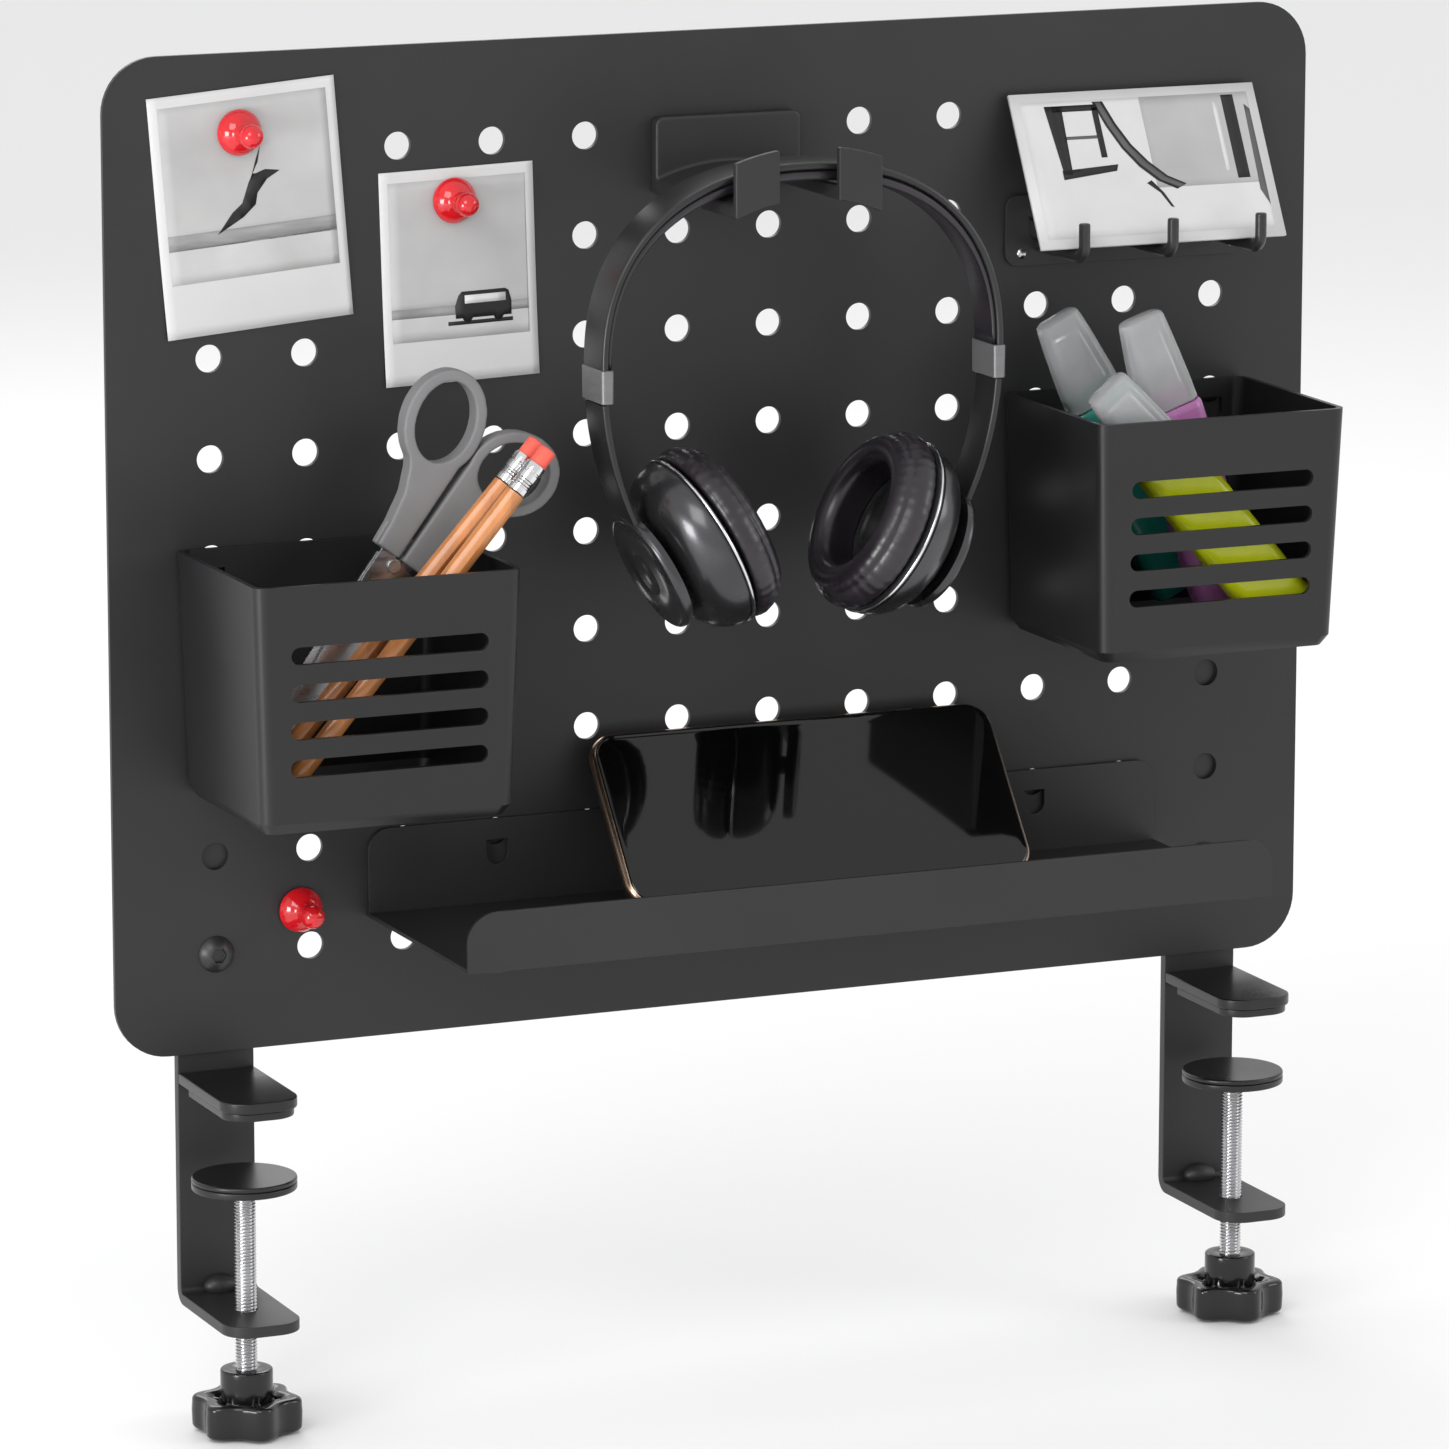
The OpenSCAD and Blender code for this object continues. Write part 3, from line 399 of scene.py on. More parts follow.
# %% Threads
def thread(name, radius, depth, pitch, length, steps=36):
    """A V thread of the given sizes in mm, standing on z = 0."""
    turns = int(length / pitch)
    verts, faces = [], []
    count = turns * steps
    for i in range(count + 1):
        a = 2 * math.pi * i / steps
        z = pitch * i / steps
        for r, dz in ((radius, 0.0), (radius, 0.12 * pitch), (radius - depth, 0.56 * pitch)):
            verts.append((r * math.cos(a) / 1000, r * math.sin(a) / 1000, (z + dz) / 1000))
    for i in range(count):
        a, b = 3 * i, 3 * i + 3
        faces += [(a, b, b + 1, a + 1), (a + 1, b + 1, b + 2, a + 2)]
        if i + steps < count:
            c, d = 3 * (i + steps), 3 * (i + steps) + 3
            faces.append((a + 2, b + 2, d, c))
    mesh = bpy.data.meshes.new(name)
    mesh.from_pydata(verts, [], faces)
    return mesh


for side in ("left", "right"):
    node = side + "_clamp_screw"
    low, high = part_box(node)
    axis_x, axis_y = (low[0] + high[0]) / 2, (low[1] + high[1]) / 2
    mesh = thread(node + "_threaded", 4.0, 0.62, 1.25, (high[2] - low[2]) * 1000)
    screw = bpy.data.objects.new(node + "_threaded", mesh)
    stand(screw, node, Matrix.Translation((axis_x, axis_y, low[2])), 25)
print("threads cut")

# %% [markdown]
# A pressed rib stiffens the bend of each bracket. It is half of a flattened ball, set
# into the corner between the back plate and the lower arm.

# %% Ribs in the bends
for side in ("left", "right"):
    low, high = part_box(side + "_bracket")
    rib = turned(side + "_rib", arc(0, 0, 6.5, -89, 89, 12), 40)
    rib.transform(Matrix.Diagonal((1.0, 0.62, 0.62, 1.0)))
    rib.transform(Matrix.Translation(((low[0] + high[0]) / 2, high[1] - 0.0062, low[2] + 0.0062)))
    rib_piece = put(bpy.data.objects.new(side + "_bend_rib", rib), side + "_bracket")
    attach(rib_piece, "board")
print("ribs pressed")


# %% [markdown]
# The knob's outline is turned like the pins, but each ring is pushed in and out six
# times on its way round, which gives the lobes and the hollows between them.

# %% Knobs
def lobed(angle, r, h):
    """Six lobes that fade out towards the axis, with ribs in the hollow round the collar."""
    wave = (1 + math.cos(6 * (angle - math.pi / 2))) / 2
    if r > 12.2:
        return r * (0.82 + 0.18 * wave ** 1.25), 0.0
    if 9.6 < r <= 12.2 and 8.0 < h < 13.0:
        return r, 1.8 * wave ** 2
    return r, 0.0


KNOB_OUTLINE = (
    [(0.4, 1.6), (7.0, 1.2), (13.0, 0.5), (16.5, 0.0)] + arc(18.2, 1.8, 1.8, -80, 0, 5)
    + [(20.1, 4.0), (20.2, 7.0), (20.0, 9.8)] + arc(18.2, 10.6, 1.8, 5, 80, 5)
    + [(16.8, 12.5), (14.4, 12.2), (12.9, 11.0), (12.1, 9.6), (10.2, 9.2), (9.7, 9.8), (9.5, 11.5)]
    + [(9.5, 14.0), (9.5, 19.5)] + arc(8.7, 21.9, 0.8, 10, 85, 4) + [(5.0, 22.75), (4.1, 22.4)]
)
for side in ("left", "right"):
    node = side + "_knob"
    low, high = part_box(node)
    axis_x, axis_y = (low[0] + high[0]) / 2, (low[1] + high[1]) / 2
    mesh = turned(node + "_moulding", KNOB_OUTLINE, 120, lobed)
    knob = bpy.data.objects.new(node + "_moulding", mesh)
    stand(knob, node, Matrix.Translation((axis_x, axis_y, low[2])), 50)
print("knobs moulded")

# %% [markdown]
# ## Pencils
# A six-sided varnished barrel, a pressed ferrule with two crimped bands and a round
# eraser. The barrel's flats are softened by blending a hexagon with a circle.

# %% Pencils
PENCILS = {"pencil_a": 42.5, "pencil_b": 41.0}
PENCIL_LENGTH, FERRULE_LENGTH = 153.0, 12.0


def six_flats(angle, r, h):
    """Presses six flats into the barrel, but not into its turned point."""
    if h < 16:
        return r, 0.0
    face = (angle + math.pi / 6) % (math.pi / 3) - math.pi / 6
    return r * (0.45 + 0.55 * math.cos(math.pi / 6) / math.cos(face) * 1.06), 0.0


for name, lean in PENCILS.items():
    low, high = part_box(name)
    reach = math.radians(lean)
    foot = Vector((low[0] + 0.0005 * math.cos(reach), (low[1] + high[1]) / 2, low[2] + 0.0005 * math.sin(reach)))
    place = Matrix.Translation(foot) @ Matrix.Rotation(reach, 4, "Y")
    barrel = [(0.3, 0.2), (0.9, 3.2), (2.2, 9.0), (3.2, 14.0), (3.42, 16.5), (3.45, 30), (3.45, 140.5)]
    stand(bpy.data.objects.new(name + "_barrel", turned(name + "_barrel", barrel, 48, six_flats)), name, place, 28)
    top = PENCIL_LENGTH - FERRULE_LENGTH
    bands = [(3.3, top), (3.75, top), (3.75, top + 2.2)]
    for step in range(3):
        h = top + 2.6 + 1.1 * step
        bands += [(3.42, h), (3.42, h + 0.35), (3.72, h + 0.7)]
    bands += [(3.72, top + 8.0), (3.5, top + 8.3), (3.5, top + 8.8), (3.74, top + 9.1), (3.74, top + 11.6)]
    bands += [(3.6, top + 12.0), (3.3, top + 12.0), (3.28, top + 9.0)]
    ferrule = name + "_ferrule"
    stand(bpy.data.objects.new(ferrule + "_pressed", turned(ferrule, bands)), ferrule, place, 30)
    rubber = [(3.2, top + 8), (3.22, top + 16.5)] + arc(2.3, top + 18.0, 0.95, 0, 88, 6) + [(0.4, top + 19.0)]
    eraser = name + "_eraser"
    stand(bpy.data.objects.new(eraser + "_round", turned(eraser, rubber)), eraser, place)
print("pencils made")

# %% [markdown]
# ## Highlighters
# Broad flat bodies with a narrower shoulder, under long smoked caps that taper to a
# squared top. A loft joins rounded-rectangle sections, so that width, thickness and
# corner can change along the pen.

# %% A loft of rounded rectangles
def rounded_ring(width, depth, corner, steps=8):
    """Corner points of a rounded rectangle, anticlockwise, in mm."""
    ring = []
    for k, (sx, sy) in enumerate(((1, 1), (-1, 1), (-1, -1), (1, -1))):
        cx, cy = sx * (width / 2 - corner), sy * (depth / 2 - corner)
        for i in range(steps + 1):
            a = math.radians(90 * k + 90 * i / steps)
            ring.append((cx + corner * math.cos(a), cy + corner * math.sin(a)))
    return ring


def lofted(name, sections, close=(True, True)):
    """A skin over (height, width, depth, corner) sections, in mm."""
    verts, faces = [], []
    count = len(rounded_ring(10, 10, 1))
    for height, width, depth, corner in sections:
        verts += [(x / 1000, y / 1000, height / 1000) for x, y in rounded_ring(width, depth, corner)]
    for k in range(len(sections) - 1):
        for i in range(count):
            j = (i + 1) % count
            faces.append((k * count + i, k * count + j, (k + 1) * count + j, (k + 1) * count + i))
    if close[0]:
        faces.append(tuple(reversed(range(count))))
    if close[1]:
        faces.append(tuple(range((len(sections) - 1) * count, len(sections) * count)))
    mesh = bpy.data.meshes.new(name)
    mesh.from_pydata(verts, [], faces)
    return mesh


# %% Highlighters
PENS = {"teal_pen": -27.0, "pink_pen": -19.0, "yellow_pen": -40.0}
BODY = 80.0  # length of the coloured body up to its shoulder, in mm
for name, lean in PENS.items():
    lean = math.radians(lean)
    low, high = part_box(name)
    foot = Vector((high[0] - 0.0125 * math.cos(lean), (low[1] + high[1]) / 2, low[2] - 0.0125 * math.sin(lean)))
    place = Matrix.Translation(foot) @ Matrix.Rotation(lean, 4, "Y")
    body = [
        (0.0, 21.0, 10.0, 3.5), (0.4, 23.6, 12.6, 4.2), (1.6, 24.8, 13.8, 4.6), (4, 25, 14, 4.7),
        (BODY - 3, 25, 14, 4.7), (BODY - 1, 24.6, 13.6, 4.5), (BODY, 23.4, 12.4, 4.0),
        (BODY, 15.8, 7.8, 2.4), (BODY + 7.4, 15.6, 7.6, 2.4), (BODY + 7.9, 14.6, 6.8, 2.0),
    ]
    stand(bpy.data.objects.new(name + "_barrel", lofted(name + "_barrel", body)), name, place, 40)
    base = BODY + 0.3
    cap = [
        (base + 28, 10.6, 4.2, 1.8), (base, 15.9, 7.9, 2.6), (base, 22.2, 11.8, 4.2),
        (base + 0.6, 23.2, 12.8, 4.6), (base + 10, 22.2, 12.2, 4.6), (base + 24, 19.6, 10.8, 4.2),
        (base + 33.4, 17.4, 9.8, 4.0), (base + 35.0, 16.6, 9.2, 3.8), (base + 35.6, 14.6, 7.4, 3.0),
    ]
    node = name + "_cap"
    stand(bpy.data.objects.new(node + "_smoked", lofted(node, cap)), node, place, 40)
print("highlighters made")

# %% [markdown]
# ## Headphones
# The band is one long bend that is thick and padded at the crown and thin where it
# enters the silver end pieces. A section carried along a path keeps its edges parallel
# and lets the width, thickness and rounding change on the way.

# %% A section carried along a path
def swept(name, path, sections, close=True):
    """Skins rings of rounded rectangles along a path in the XZ plane.

    path holds (x, z) in metres, sections (depth, thickness, corner) in mm for each point.
    """
    verts, faces = [], []
    count = len(rounded_ring(10, 10, 1))
    for k, (x, z) in enumerate(path):
        before, after = path[max(0, k - 1)], path[min(len(path) - 1, k + 1)]
        tangent = Vector((after[0] - before[0], after[1] - before[1])).normalized()
        normal = Vector((tangent[1], -tangent[0]))
        depth, thick, corner = sections[k]
        for u, v in rounded_ring(depth, thick, min(corner, thick / 2 - 0.01)):
            verts.append((x + normal[0] * v / 1000, PHONES_Y + u / 1000, z + normal[1] * v / 1000))
    for k in range(len(path) - 1):
        for i in range(count):
            j = (i + 1) % count
            faces.append((k * count + i, (k + 1) * count + i, (k + 1) * count + j, k * count + j))
    if close:
        faces.append(tuple(range(count)))
        faces.append(tuple(reversed(range((len(path) - 1) * count, len(path) * count))))
    mesh = bpy.data.meshes.new(name)
    mesh.from_pydata(verts, [], faces)
    return mesh


band_low, band_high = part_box("headband")
PHONES_Y = (band_low[1] + band_high[1]) / 2
PHONES_X = (band_low[0] + band_high[0]) / 2
BAND_Z, BAND_TOP = band_low[2], band_high[2]
BAND_HALF = (band_high[0] - band_low[0]) / 2
POWER = 2.3


def bend_point(half, rise, angle):
    """A point of the band's superellipse, in metres."""
    c, s = math.cos(angle), math.sin(angle)
    return (PHONES_X + math.copysign(half * abs(c) ** (2 / POWER), c), BAND_Z + rise * abs(s) ** (2 / POWER))


# %% The band and its padding
BAND_STEPS = 72
outer_path, pad_path, outer_sections, pad_sections = [], [], [], []
for i in range(BAND_STEPS + 1):
    angle = math.pi * i / BAND_STEPS
    crown = math.sin(angle) ** 1.5
    rise = BAND_TOP - BAND_Z
    outer_path.append(bend_point(BAND_HALF - 0.0022, rise - 0.0014, angle))
    outer_sections.append((18.5 + 3.0 * crown, 2.6, 1.2))
    pad_path.append(bend_point(BAND_HALF - 0.0042, rise - 0.0046 - 0.0001 * crown, angle))
    pad_sections.append((16.0 + 3.0 * crown, 1.6 + 2.8 * crown, 2.2))
band = bpy.data.objects.new("headband_shell", swept("headband_shell", outer_path, outer_sections))
put(band, "headband")
band.data.set_sharp_from_angle(angle=math.radians(50))
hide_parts("headband")
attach(band, "headphones")
lining = bpy.data.objects.new("headband_lining", swept("headband_lining", pad_path, pad_sections))
put(lining, "headband", slot="cushion_leather")
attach(lining, "headphones")
ends = bmesh.new()
for side in (-1, 1):
    sleeve = lofted("sleeve", [(0, 4.0, 19.2, 1.2), (0.3, 4.6, 19.8, 1.4), (11.7, 4.8, 20.0, 1.4), (12, 4.2, 19.4, 1.2)])
    sleeve.transform(Matrix.Translation((PHONES_X + side * (BAND_HALF - 0.0028), PHONES_Y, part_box("band_ends")[0][2])))
    ends.from_mesh(sleeve)
sleeves = bpy.data.meshes.new("band_end_sleeves")
ends.to_mesh(sleeves)
ends.free()
stand(bpy.data.objects.new("band_end_sleeves", sleeves), "band_ends", Matrix.Identity(4), 35)
print("band spans", round(2 * BAND_HALF * 1000, 1), "mm")

# %% [markdown]
# ## Arms, cups and cushions
# Each arm leaves its silver end, bends in under the ear and spreads into the round outer
# plate that carries the cup. Cups are turned; the cushions are soft rings, crowned and
# gathered at their seams, and are turned too, with small gathers round the outside.

# %% Where the cups are
TILT = math.radians(27)
CUP_OFF, CUP_DROP = 0.035, 0.064


def cup_matrix(side):
    """From a cup's own frame, Z towards the head, to the row frame."""
    at = Matrix.Translation((PHONES_X + side * CUP_OFF, PHONES_Y, BAND_Z - CUP_DROP))
    return at @ Matrix.Rotation(-side * (math.pi / 2 - TILT), 4, "Y")


def arm_path(side):
    """Middle line of an arm, from its silver end to the bottom of the outer plate."""
    depth = 0.018 + 0.0025 + 0.00225
    plate = Vector((CUP_OFF + depth * math.cos(TILT), BAND_Z - CUP_DROP - depth * math.sin(TILT)))
    along = Vector((math.sin(TILT), math.cos(TILT)))
    top = Vector((BAND_HALF - 0.0025, BAND_Z - 0.0125))
    bend_end = plate + along * 0.020
    bend_mid = bend_end + along * 0.023
    points = []
    for i in range(21):
        t = i / 20
        p = top * (1 - t) ** 2 + bend_mid * 2 * t * (1 - t) + bend_end * t * t
        points.append(p)
    for i in range(1, 13):
        points.append(bend_end - along * (0.038 * i / 12))
    return [(PHONES_X + side * p[0], p[1]) for p in points]


# %% Arms with their outer plates
for word, side in (("left", -1), ("right", 1)):
    node = "arm_" + word
    path = arm_path(side)
    sections = []
    for k in range(len(path)):
        t = k / (len(path) - 1)
        sections.append((17.5 - 4.0 * max(0, t - 0.6), 2.8 - 0.2 * t, 1.1))
    strip = bpy.data.objects.new(node + "_strip", swept(node + "_strip", path, sections))
    put(strip, node)
    strip.data.set_sharp_from_angle(angle=math.radians(50))
    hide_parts(node)
    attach(strip, node)
    plate_outline = (
        [(0.3, -25.6), (8.0, -25.55), (8.3, -25.3), (8.6, -25.5), (17.0, -25.2)]
        + arc(20.6, -22.9, 2.3, -80, 20, 6) + [(22.6, -21.0), (5.2, -20.6), (5.0, -23.4)]
    )
    plate = bpy.data.objects.new(node + "_plate", turned(node + "_plate", plate_outline, 72))
    plate.data.transform(cup_matrix(side))
    put(plate, node, slot="headphone_gloss")
    plate.data.set_sharp_from_angle(angle=math.radians(40))
    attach(plate, node)
print("arms bent")

# %% [markdown]
# A cup is a shallow bowl with a socket for its post, and a bright ring where the
# cushion meets it. Both are turned in one piece about the axis of the ear.

# %% Cups
CUP_OUTLINE = (
    [(0.3, -22.5), (3.9, -22.4), (4.0, -18.4), (12, -18.3), (20.0, -17.6), (25.5, -15.6)]
    + [(29.5, -12.4), (31.8, -8.6), (32.9, -5.0), (33.0, -3.6), (32.4, -3.3), (32.4, -2.9)]
    + [(33.1, -2.6), (33.2, -1.4), (32.6, -1.0), (31.5, -0.4), (19.4, -0.3), (19.0, -1.8), (0.3, -2.0)]
)
for word, side in (("left", -1), ("right", 1)):
    node = "cup_" + word
    cup = bpy.data.objects.new(node + "_shell", turned(node + "_shell", CUP_OUTLINE, 96))
    stand(cup, node, cup_matrix(side), 35)
    trim_outline = arc(33.0, -2.0, 0.55, -180, 180, 10)
    trim = bpy.data.objects.new(node + "_trim", turned(node + "_trim", trim_outline, 96))
    trim.data.transform(cup_matrix(side))
    put(trim, node, slot="ferrule")
    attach(trim, node)
print("cups turned")

# %% [markdown]
# The cushions are stitched covers over foam. The ring is turned and its two end faces
# are taken off, so it is open at its ends.

# %% Ear cushions
def cushion_ring(angle, r, h):
    """Slight gathers round the outside of the cushion."""
    if r > 27:
        return r + 0.12 * math.sin(46 * angle), 0.0
    return r, 0.0


CUSHION_OUTLINE = (
    [(19.2, 0.3), (19.3, 3.0), (19.8, 6.0), (19.6, 8.6), (20.4, 11.4), (22.6, 13.3), (25.6, 13.9)]
    + [(28.4, 13.2), (30.2, 11.6), (31.0, 10.2), (30.9, 9.8), (31.8, 9.2), (33.2, 7.0), (33.8, 4.6)]
    + [(33.6, 2.2), (32.6, 0.7), (31.0, 0.3)]
)
for word, side in (("left", -1), ("right", 1)):
    node = "cushion_" + word
    mesh = turned(node + "_soft", CUSHION_OUTLINE, 184, cushion_ring)
    work = bmesh.new()
    work.from_mesh(mesh)
    caps = [f for f in work.faces if len(f.verts) > 4]
    rims = [list(f.verts) for f in caps]
    bmesh.ops.delete(work, geom=caps, context="FACES_ONLY")
    work.to_mesh(mesh)
    work.free()
    cushion = bpy.data.objects.new(node + "_soft", mesh)
    stand(cushion, node, cup_matrix(side))
print("cushions made")

# %% [markdown]
# ## The phone
# A slab with a rounded metal edge and a black glass front that curves down to meet it.

# %% Phone
def flat_ring(width, height, corner, y):
    """A rounded rectangle standing in the phone's own XZ plane at depth y, in metres."""
    return [(x / 1000, y / 1000, z / 1000) for x, z in rounded_ring(width, height, corner, 12)]


def slab(name, rings):
    """A skin over rounded rectangles (width, height, corner, y) with closed ends."""
    verts, faces = [], []
    for ring in rings:
        verts += flat_ring(*ring)
    count = len(verts) // len(rings)
    for k in range(len(rings) - 1):
        for i in range(count):
            j = (i + 1) % count
            faces.append((k * count + i, (k + 1) * count + i, (k + 1) * count + j, k * count + j))
    faces.append(tuple(range(count)))
    faces.append(tuple(reversed(range((len(rings) - 1) * count, len(rings) * count))))
    mesh = bpy.data.meshes.new(name)
    mesh.from_pydata(verts, [], faces)
    return mesh


phone_low, phone_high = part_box("phone_frame")
LEAN = math.radians(39)
PHONE_W, PHONE_H, PHONE_T = 161.0, 71.5, 8.0
phone_centre = Vector(((phone_low[0] + phone_high[0]) / 2, (phone_low[1] + phone_high[1]) / 2,
                       (phone_low[2] + phone_high[2]) / 2))
phone_place = (
    Matrix.Translation(phone_centre) @ Matrix.Rotation(-LEAN, 4, "X") @ Matrix.Translation((0, -PHONE_T / 2000, 0))
)
rim = [(PHONE_W - 5, PHONE_H - 5, 8.5, 0.4), (PHONE_W - 2.2, PHONE_H - 2.2, 9.6, 0.7), (PHONE_W - 0.5, PHONE_H - 0.5, 10.3, 2.0),
       (PHONE_W, PHONE_H, 10.5, 4.0), (PHONE_W - 0.5, PHONE_H - 0.5, 10.3, 6.0),
       (PHONE_W - 2.2, PHONE_H - 2.2, 9.6, 7.5), (PHONE_W - 5, PHONE_H - 5, 8.5, 8.0)]
stand(bpy.data.objects.new("phone_band", slab("phone_band", rim)), "phone_frame", phone_place, 50)
glass = [(PHONE_W - 8, PHONE_H - 8, 7.0, 0.0), (PHONE_W - 4.5, PHONE_H - 4.5, 8.6, 0.08),
         (PHONE_W - 3.0, PHONE_H - 3.0, 9.2, 0.35), (PHONE_W - 2.6, PHONE_H - 2.6, 9.4, 0.8)]
stand(bpy.data.objects.new("phone_front_glass", slab("phone_front_glass", glass)), "phone_screen", phone_place, 50)
print("phone made")

# %% [markdown]
# ## Prints and the card
# The prints are thin sheets that have curled a little, with a wide white border. Their
# pictures are drawn with flat shapes that lie on the sheet and follow its curl.

# %% Sheets that curl, and flat shapes on them
PAPER_INKS = {
    "ink_sky": finish("ink_sky", (0.42, 0.42, 0.42), 0.12, (0.55, 0.65), 0.0, 1.0, 25),
    "ink_sea": finish("ink_sea", (0.27, 0.27, 0.275), 0.2, (0.55, 0.65), 0.0, 1.0, 60, (1, 1, 6)),
    "ink_sand": finish("ink_sand", (0.48, 0.48, 0.48), 0.1, (0.55, 0.65), 0.0, 1.0, 40),
    "ink_dark": finish("ink_dark", (0.006, 0.006, 0.006), 0.2, (0.55, 0.65), 0.0, 1.0, 40),
    "ink_mid": finish("ink_mid", (0.09, 0.09, 0.09), 0.2, (0.55, 0.65), 0.0, 1.0, 40),
    "ink_light": finish("ink_light", (0.62, 0.62, 0.62), 0.05, (0.55, 0.65), 0.0, 1.0, 40),
}


def curled_shape(name, outline, place, curl, lift, thick=0.12, grid=4.0):
    """A flat outline (x, z in mm) cut into small cells, curled and laid in place."""
    work = bmesh.new()
    ring = [work.verts.new((x, 0.0, z)) for x, z in outline]
    work.faces.new(ring)
    xs = [p[0] for p in outline]
    zs = [p[1] for p in outline]
    for axis, low, high in ((0, min(xs), max(xs)), (2, min(zs), max(zs))):
        at = low + grid
        while at < high - 0.3:
            normal = (1, 0, 0) if axis == 0 else (0, 0, 1)
            point = (at, 0, 0) if axis == 0 else (0, 0, at)
            geometry = work.verts[:] + work.edges[:] + work.faces[:]
            bmesh.ops.bisect_plane(work, geom=geometry, plane_co=point, plane_no=normal)
            at += grid
    for face in work.faces:
        face.normal_update()
        if face.normal.y > 0:
            face.normal_flip()
    skin = work.faces[:]
    back = bmesh.ops.duplicate(work, geom=skin)["geom"]
    back_faces = [g for g in back if isinstance(g, bmesh.types.BMFace)]
    back_verts = {v for f in back_faces for v in f.verts}
    edges = [e for f in skin for e in f.edges if e.is_boundary]
    for v in work.verts:
        depth = thick if v in back_verts else 0.0
        v.co.y = depth
    bmesh.ops.reverse_faces(work, faces=back_faces)
    bmesh.ops.bridge_loops(work, edges=list(set(edges)) + [e for e in {x for f in back_faces for x in f.edges} if e.is_boundary])
    for v in work.verts:
        v.co.y += -lift - curl(v.co.x, v.co.z)
        v.co /= 1000
    mesh = bpy.data.meshes.new(name)
    work.to_mesh(mesh)
    work.free()
    mesh.transform(place)
    return mesh


def rectangle(x0, z0, x1, z1):
    """Corner list of an upright rectangle, in mm."""
    return [(x0, z0), (x1, z0), (x1, z1), (x0, z1)]


def lay(node, place, curl, shapes):
    """Lays printed shapes on a sheet, each a step above the last."""
    for k, (word, ink, outline, step) in enumerate(shapes):
        name = f"{node}_{word}"
        mesh = curled_shape(name, outline, place, curl, 0.06 + 0.05 * step, 0.04)
        mesh.materials.append(PAPER_INKS[ink])
        mark = bpy.data.objects.new(name, mesh)
        put(mark, node)
        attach(mark, body_of[node])


# %% The two instant prints
def large_curl(x, z):
    """The lower left corner and the right edge stand off the panel."""
    return 0.9 * max(0, -z / 43) ** 2 * max(0, -x / 35) + 0.7 * max(0, x / 35) ** 2 + 0.25 * math.cos(x / 14)


def small_curl(x, z):
    """The lower edge lifts a little."""
    return 0.8 * max(0, -z / 38) ** 2 + 0.2 * math.cos(x / 12)


def print_place(node, turn):
    """From a print's own plane to the row frame."""
    low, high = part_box(node)
    centre = ((low[0] + high[0]) / 2, high[1] - 0.0002, (low[2] + high[2]) / 2)
    return Matrix.Translation(centre) @ Matrix.Rotation(-math.radians(turn), 4, "Y")


BIRD = [(-13, -8), (-7, -1), (-3, 2), (0, 9), (4, 16), (5.5, 22), (3.4, 17), (1.4, 11.5), (6.5, 13), (12, 12),
        (7, 9.5), (3, 5), (2, 1), (-3, -3)]
VAN = [(-2, -16), (0.5, -16), (1.5, -17.5), (3.5, -17.5), (4.5, -16), (12.5, -16), (13.5, -17.5), (15.5, -17.5),
       (16.5, -16), (19.5, -16), (19.6, -11), (18.6, -7.2), (17.2, -6.4), (0.6, -6.4), (-0.8, -7.8), (-2.2, -11.5)]
place = print_place("large_print", 4.5)
sheet_mesh = curled_shape("large_print_sheet", rectangle(-35, -43, 35, 43), place, large_curl, 0.0, 0.3)
large = bpy.data.objects.new("large_print_sheet", sheet_mesh)
put(large, "large_print")
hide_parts("large_print")
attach(large, "board")
lay("large_print", place, large_curl, [
    ("sky", "ink_sky", rectangle(-31.5, -9, 31.5, 39), 0), ("sea", "ink_sea", rectangle(-31.5, -12, 31.5, -6.5), 1),
    ("sand", "ink_sand", rectangle(-31.5, -24, 31.5, -11.5), 1), ("bird", "ink_dark", BIRD, 2),
])
place = print_place("small_print", 1.6)
sheet_mesh = curled_shape("small_print_sheet", rectangle(-29.5, -38.5, 29.5, 38.5), place, small_curl, 0.0, 0.3)
small = bpy.data.objects.new("small_print_sheet", sheet_mesh)
put(small, "small_print")
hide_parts("small_print")
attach(small, "board")
lay("small_print", place, small_curl, [
    ("sky", "ink_sky", rectangle(-26.3, -13, 26.3, 34.5), 0), ("sea", "ink_sea", rectangle(-26.3, -14.5, 26.3, -11), 1),
    ("sand", "ink_sand", rectangle(-26.3, -23, 26.3, -14), 1), ("shadow", "ink_dark", rectangle(-5, -18.3, 20, -16.9), 2),
    ("van", "ink_dark", VAN, 3), ("windows", "ink_light", rectangle(1.6, -10.8, 17.4, -7.8), 4),
])
print("prints laid")

# %% [markdown]
# The card is stiff board with a light bevelled border, leaning back against the rods.
# Its picture is a few flat shapes: a window frame, a falling curve and a dark bar.

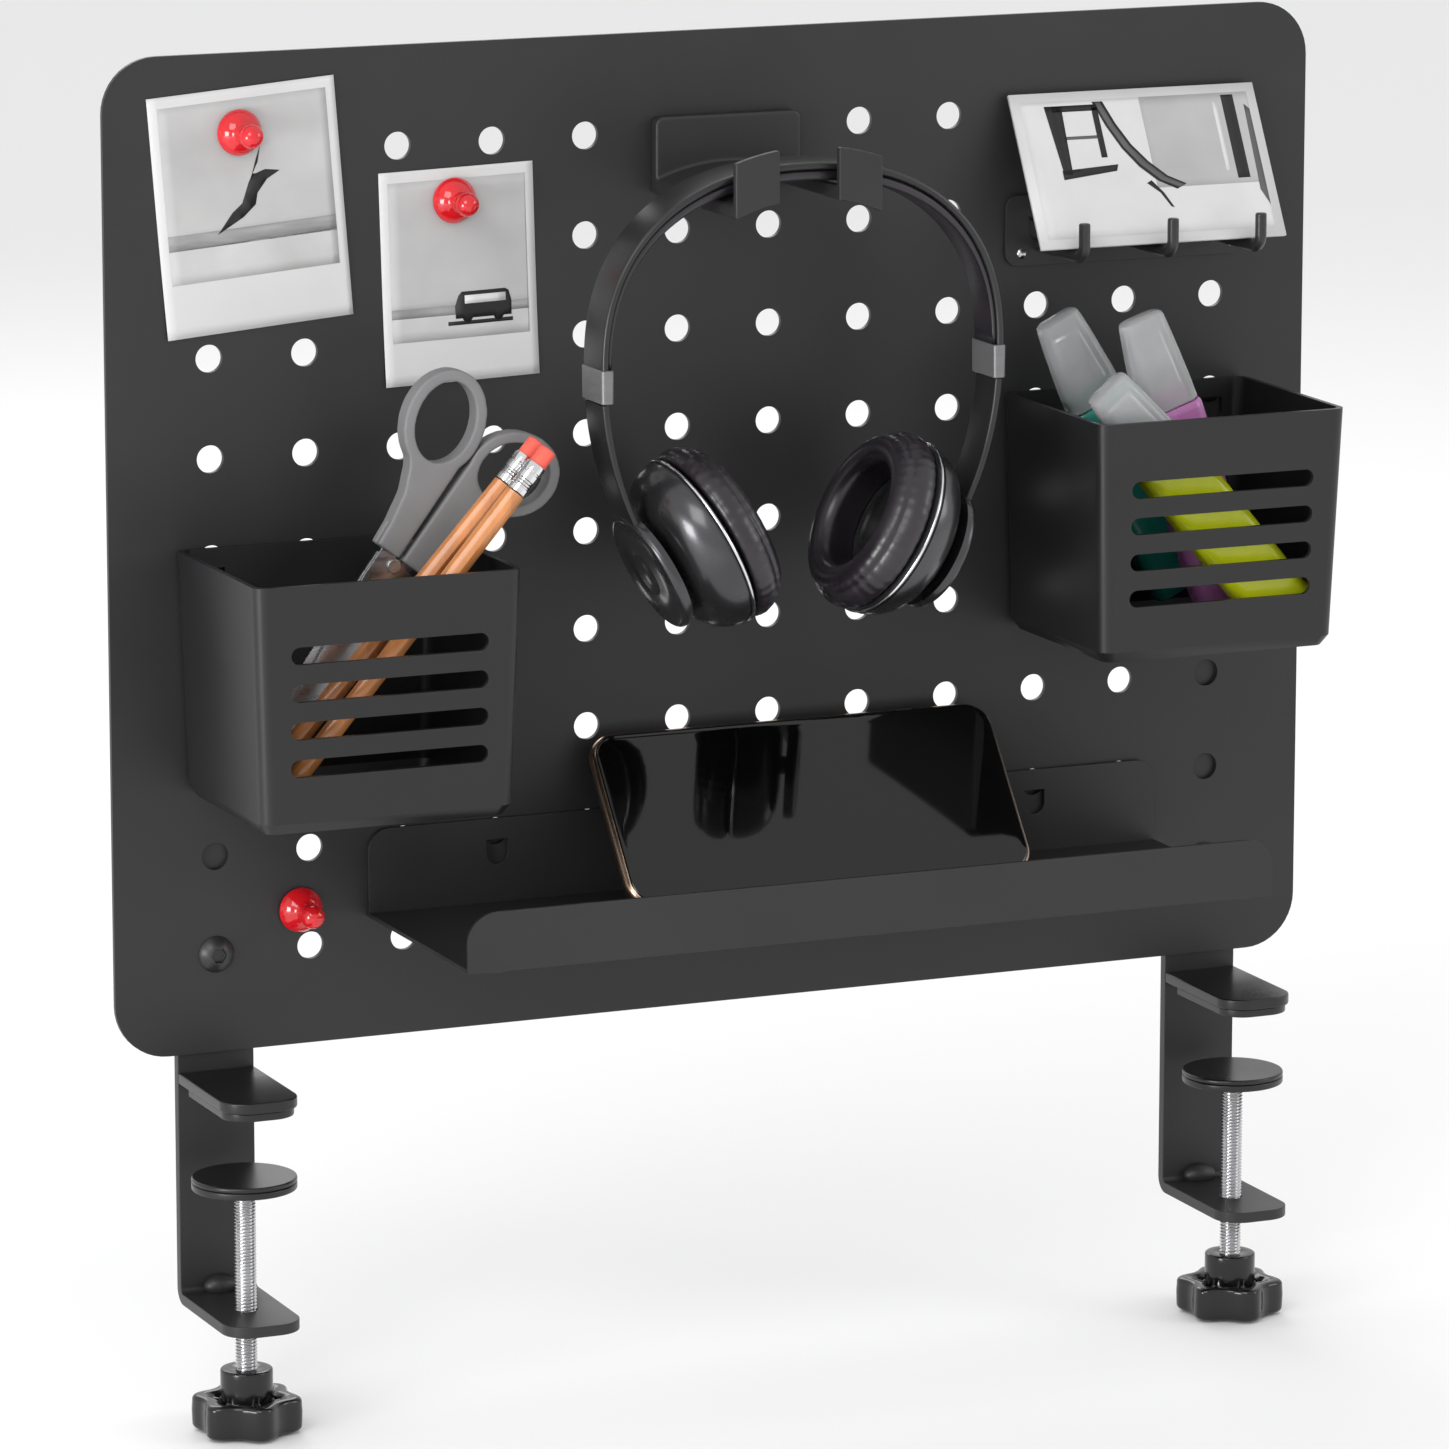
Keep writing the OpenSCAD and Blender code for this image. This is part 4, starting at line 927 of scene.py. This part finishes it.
# %% The card on the triple hook
card_low, card_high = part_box("picture_card")
CARD_LEAN = math.radians(29)
card_centre = Vector(((card_low[0] + card_high[0]) / 2, (card_low[1] + card_high[1]) / 2,
                      (card_low[2] + card_high[2]) / 2))
card_place = Matrix.Translation(card_centre) @ Matrix.Rotation(-CARD_LEAN, 4, "X") @ Matrix.Translation((0, -0.00075, 0))


def still(x, z):
    """A stiff card does not curl."""
    return 0.0


card_mesh = curled_shape("picture_card_board", rectangle(-50, -30.4, 50, 30.4), card_place, still, 0.0, 1.5, 25)
card = bpy.data.objects.new("picture_card_board", card_mesh)
put(card, "picture_card")
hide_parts("picture_card")
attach(card, "card")
def sweep_band(offset, width):
    """A strip that falls from the top edge and curls to the right."""
    spine = [(-13, 26), (-9.5, 17), (-5, 8.5), (0.5, 1.5), (7, -4.5), (14, -8)]
    upper = [(x + offset, z + offset * 0.3) for x, z in spine]
    lower = [(x + offset - width, z + offset * 0.3 - width * 0.45 * min(1, k / 3)) for k, (x, z) in enumerate(spine)]
    return upper + lower[::-1]


lay("picture_card", card_place, still, [
    ("field", "ink_light", rectangle(-46.5, -26.9, 46.5, 26.9), 0), ("ground", "ink_sky", rectangle(2, -9, 46.5, 26.9), 1),
    ("frame_left", "ink_dark", [(-34.5, -2), (-31, -2), (-30, 25), (-37, 25)], 2),
    ("frame_right", "ink_dark", rectangle(-18, 4, -15.6, 25), 2),
    ("frame_top", "ink_dark", rectangle(-34, 22.6, -15.6, 25), 2),
    ("frame_middle", "ink_mid", rectangle(-31, 11.6, -17, 12.8), 2),
    ("frame_foot", "ink_dark", [(-35, -4), (-13, -1.5), (-12, 1), (-35, -0.4)], 2),
    ("sweep_shadow", "ink_dark", sweep_band(0, 4.2), 2), ("sweep_core", "ink_mid", sweep_band(-1.0, 2.2), 3),
    ("twig", "ink_dark", [(-2, -7), (0, -6), (4, -11), (7, -17), (5.8, -16.6), (2.6, -11)], 2),
    ("slit", "ink_light", rectangle(31.5, -4, 33.2, 24), 2), ("bar", "ink_dark", rectangle(35.6, -7, 40.6, 26), 2),
    ("edge_shade", "ink_mid", [(43.6, -12), (46.4, -18), (46.4, 20), (44.4, 22)], 2),
])
print("card laid")
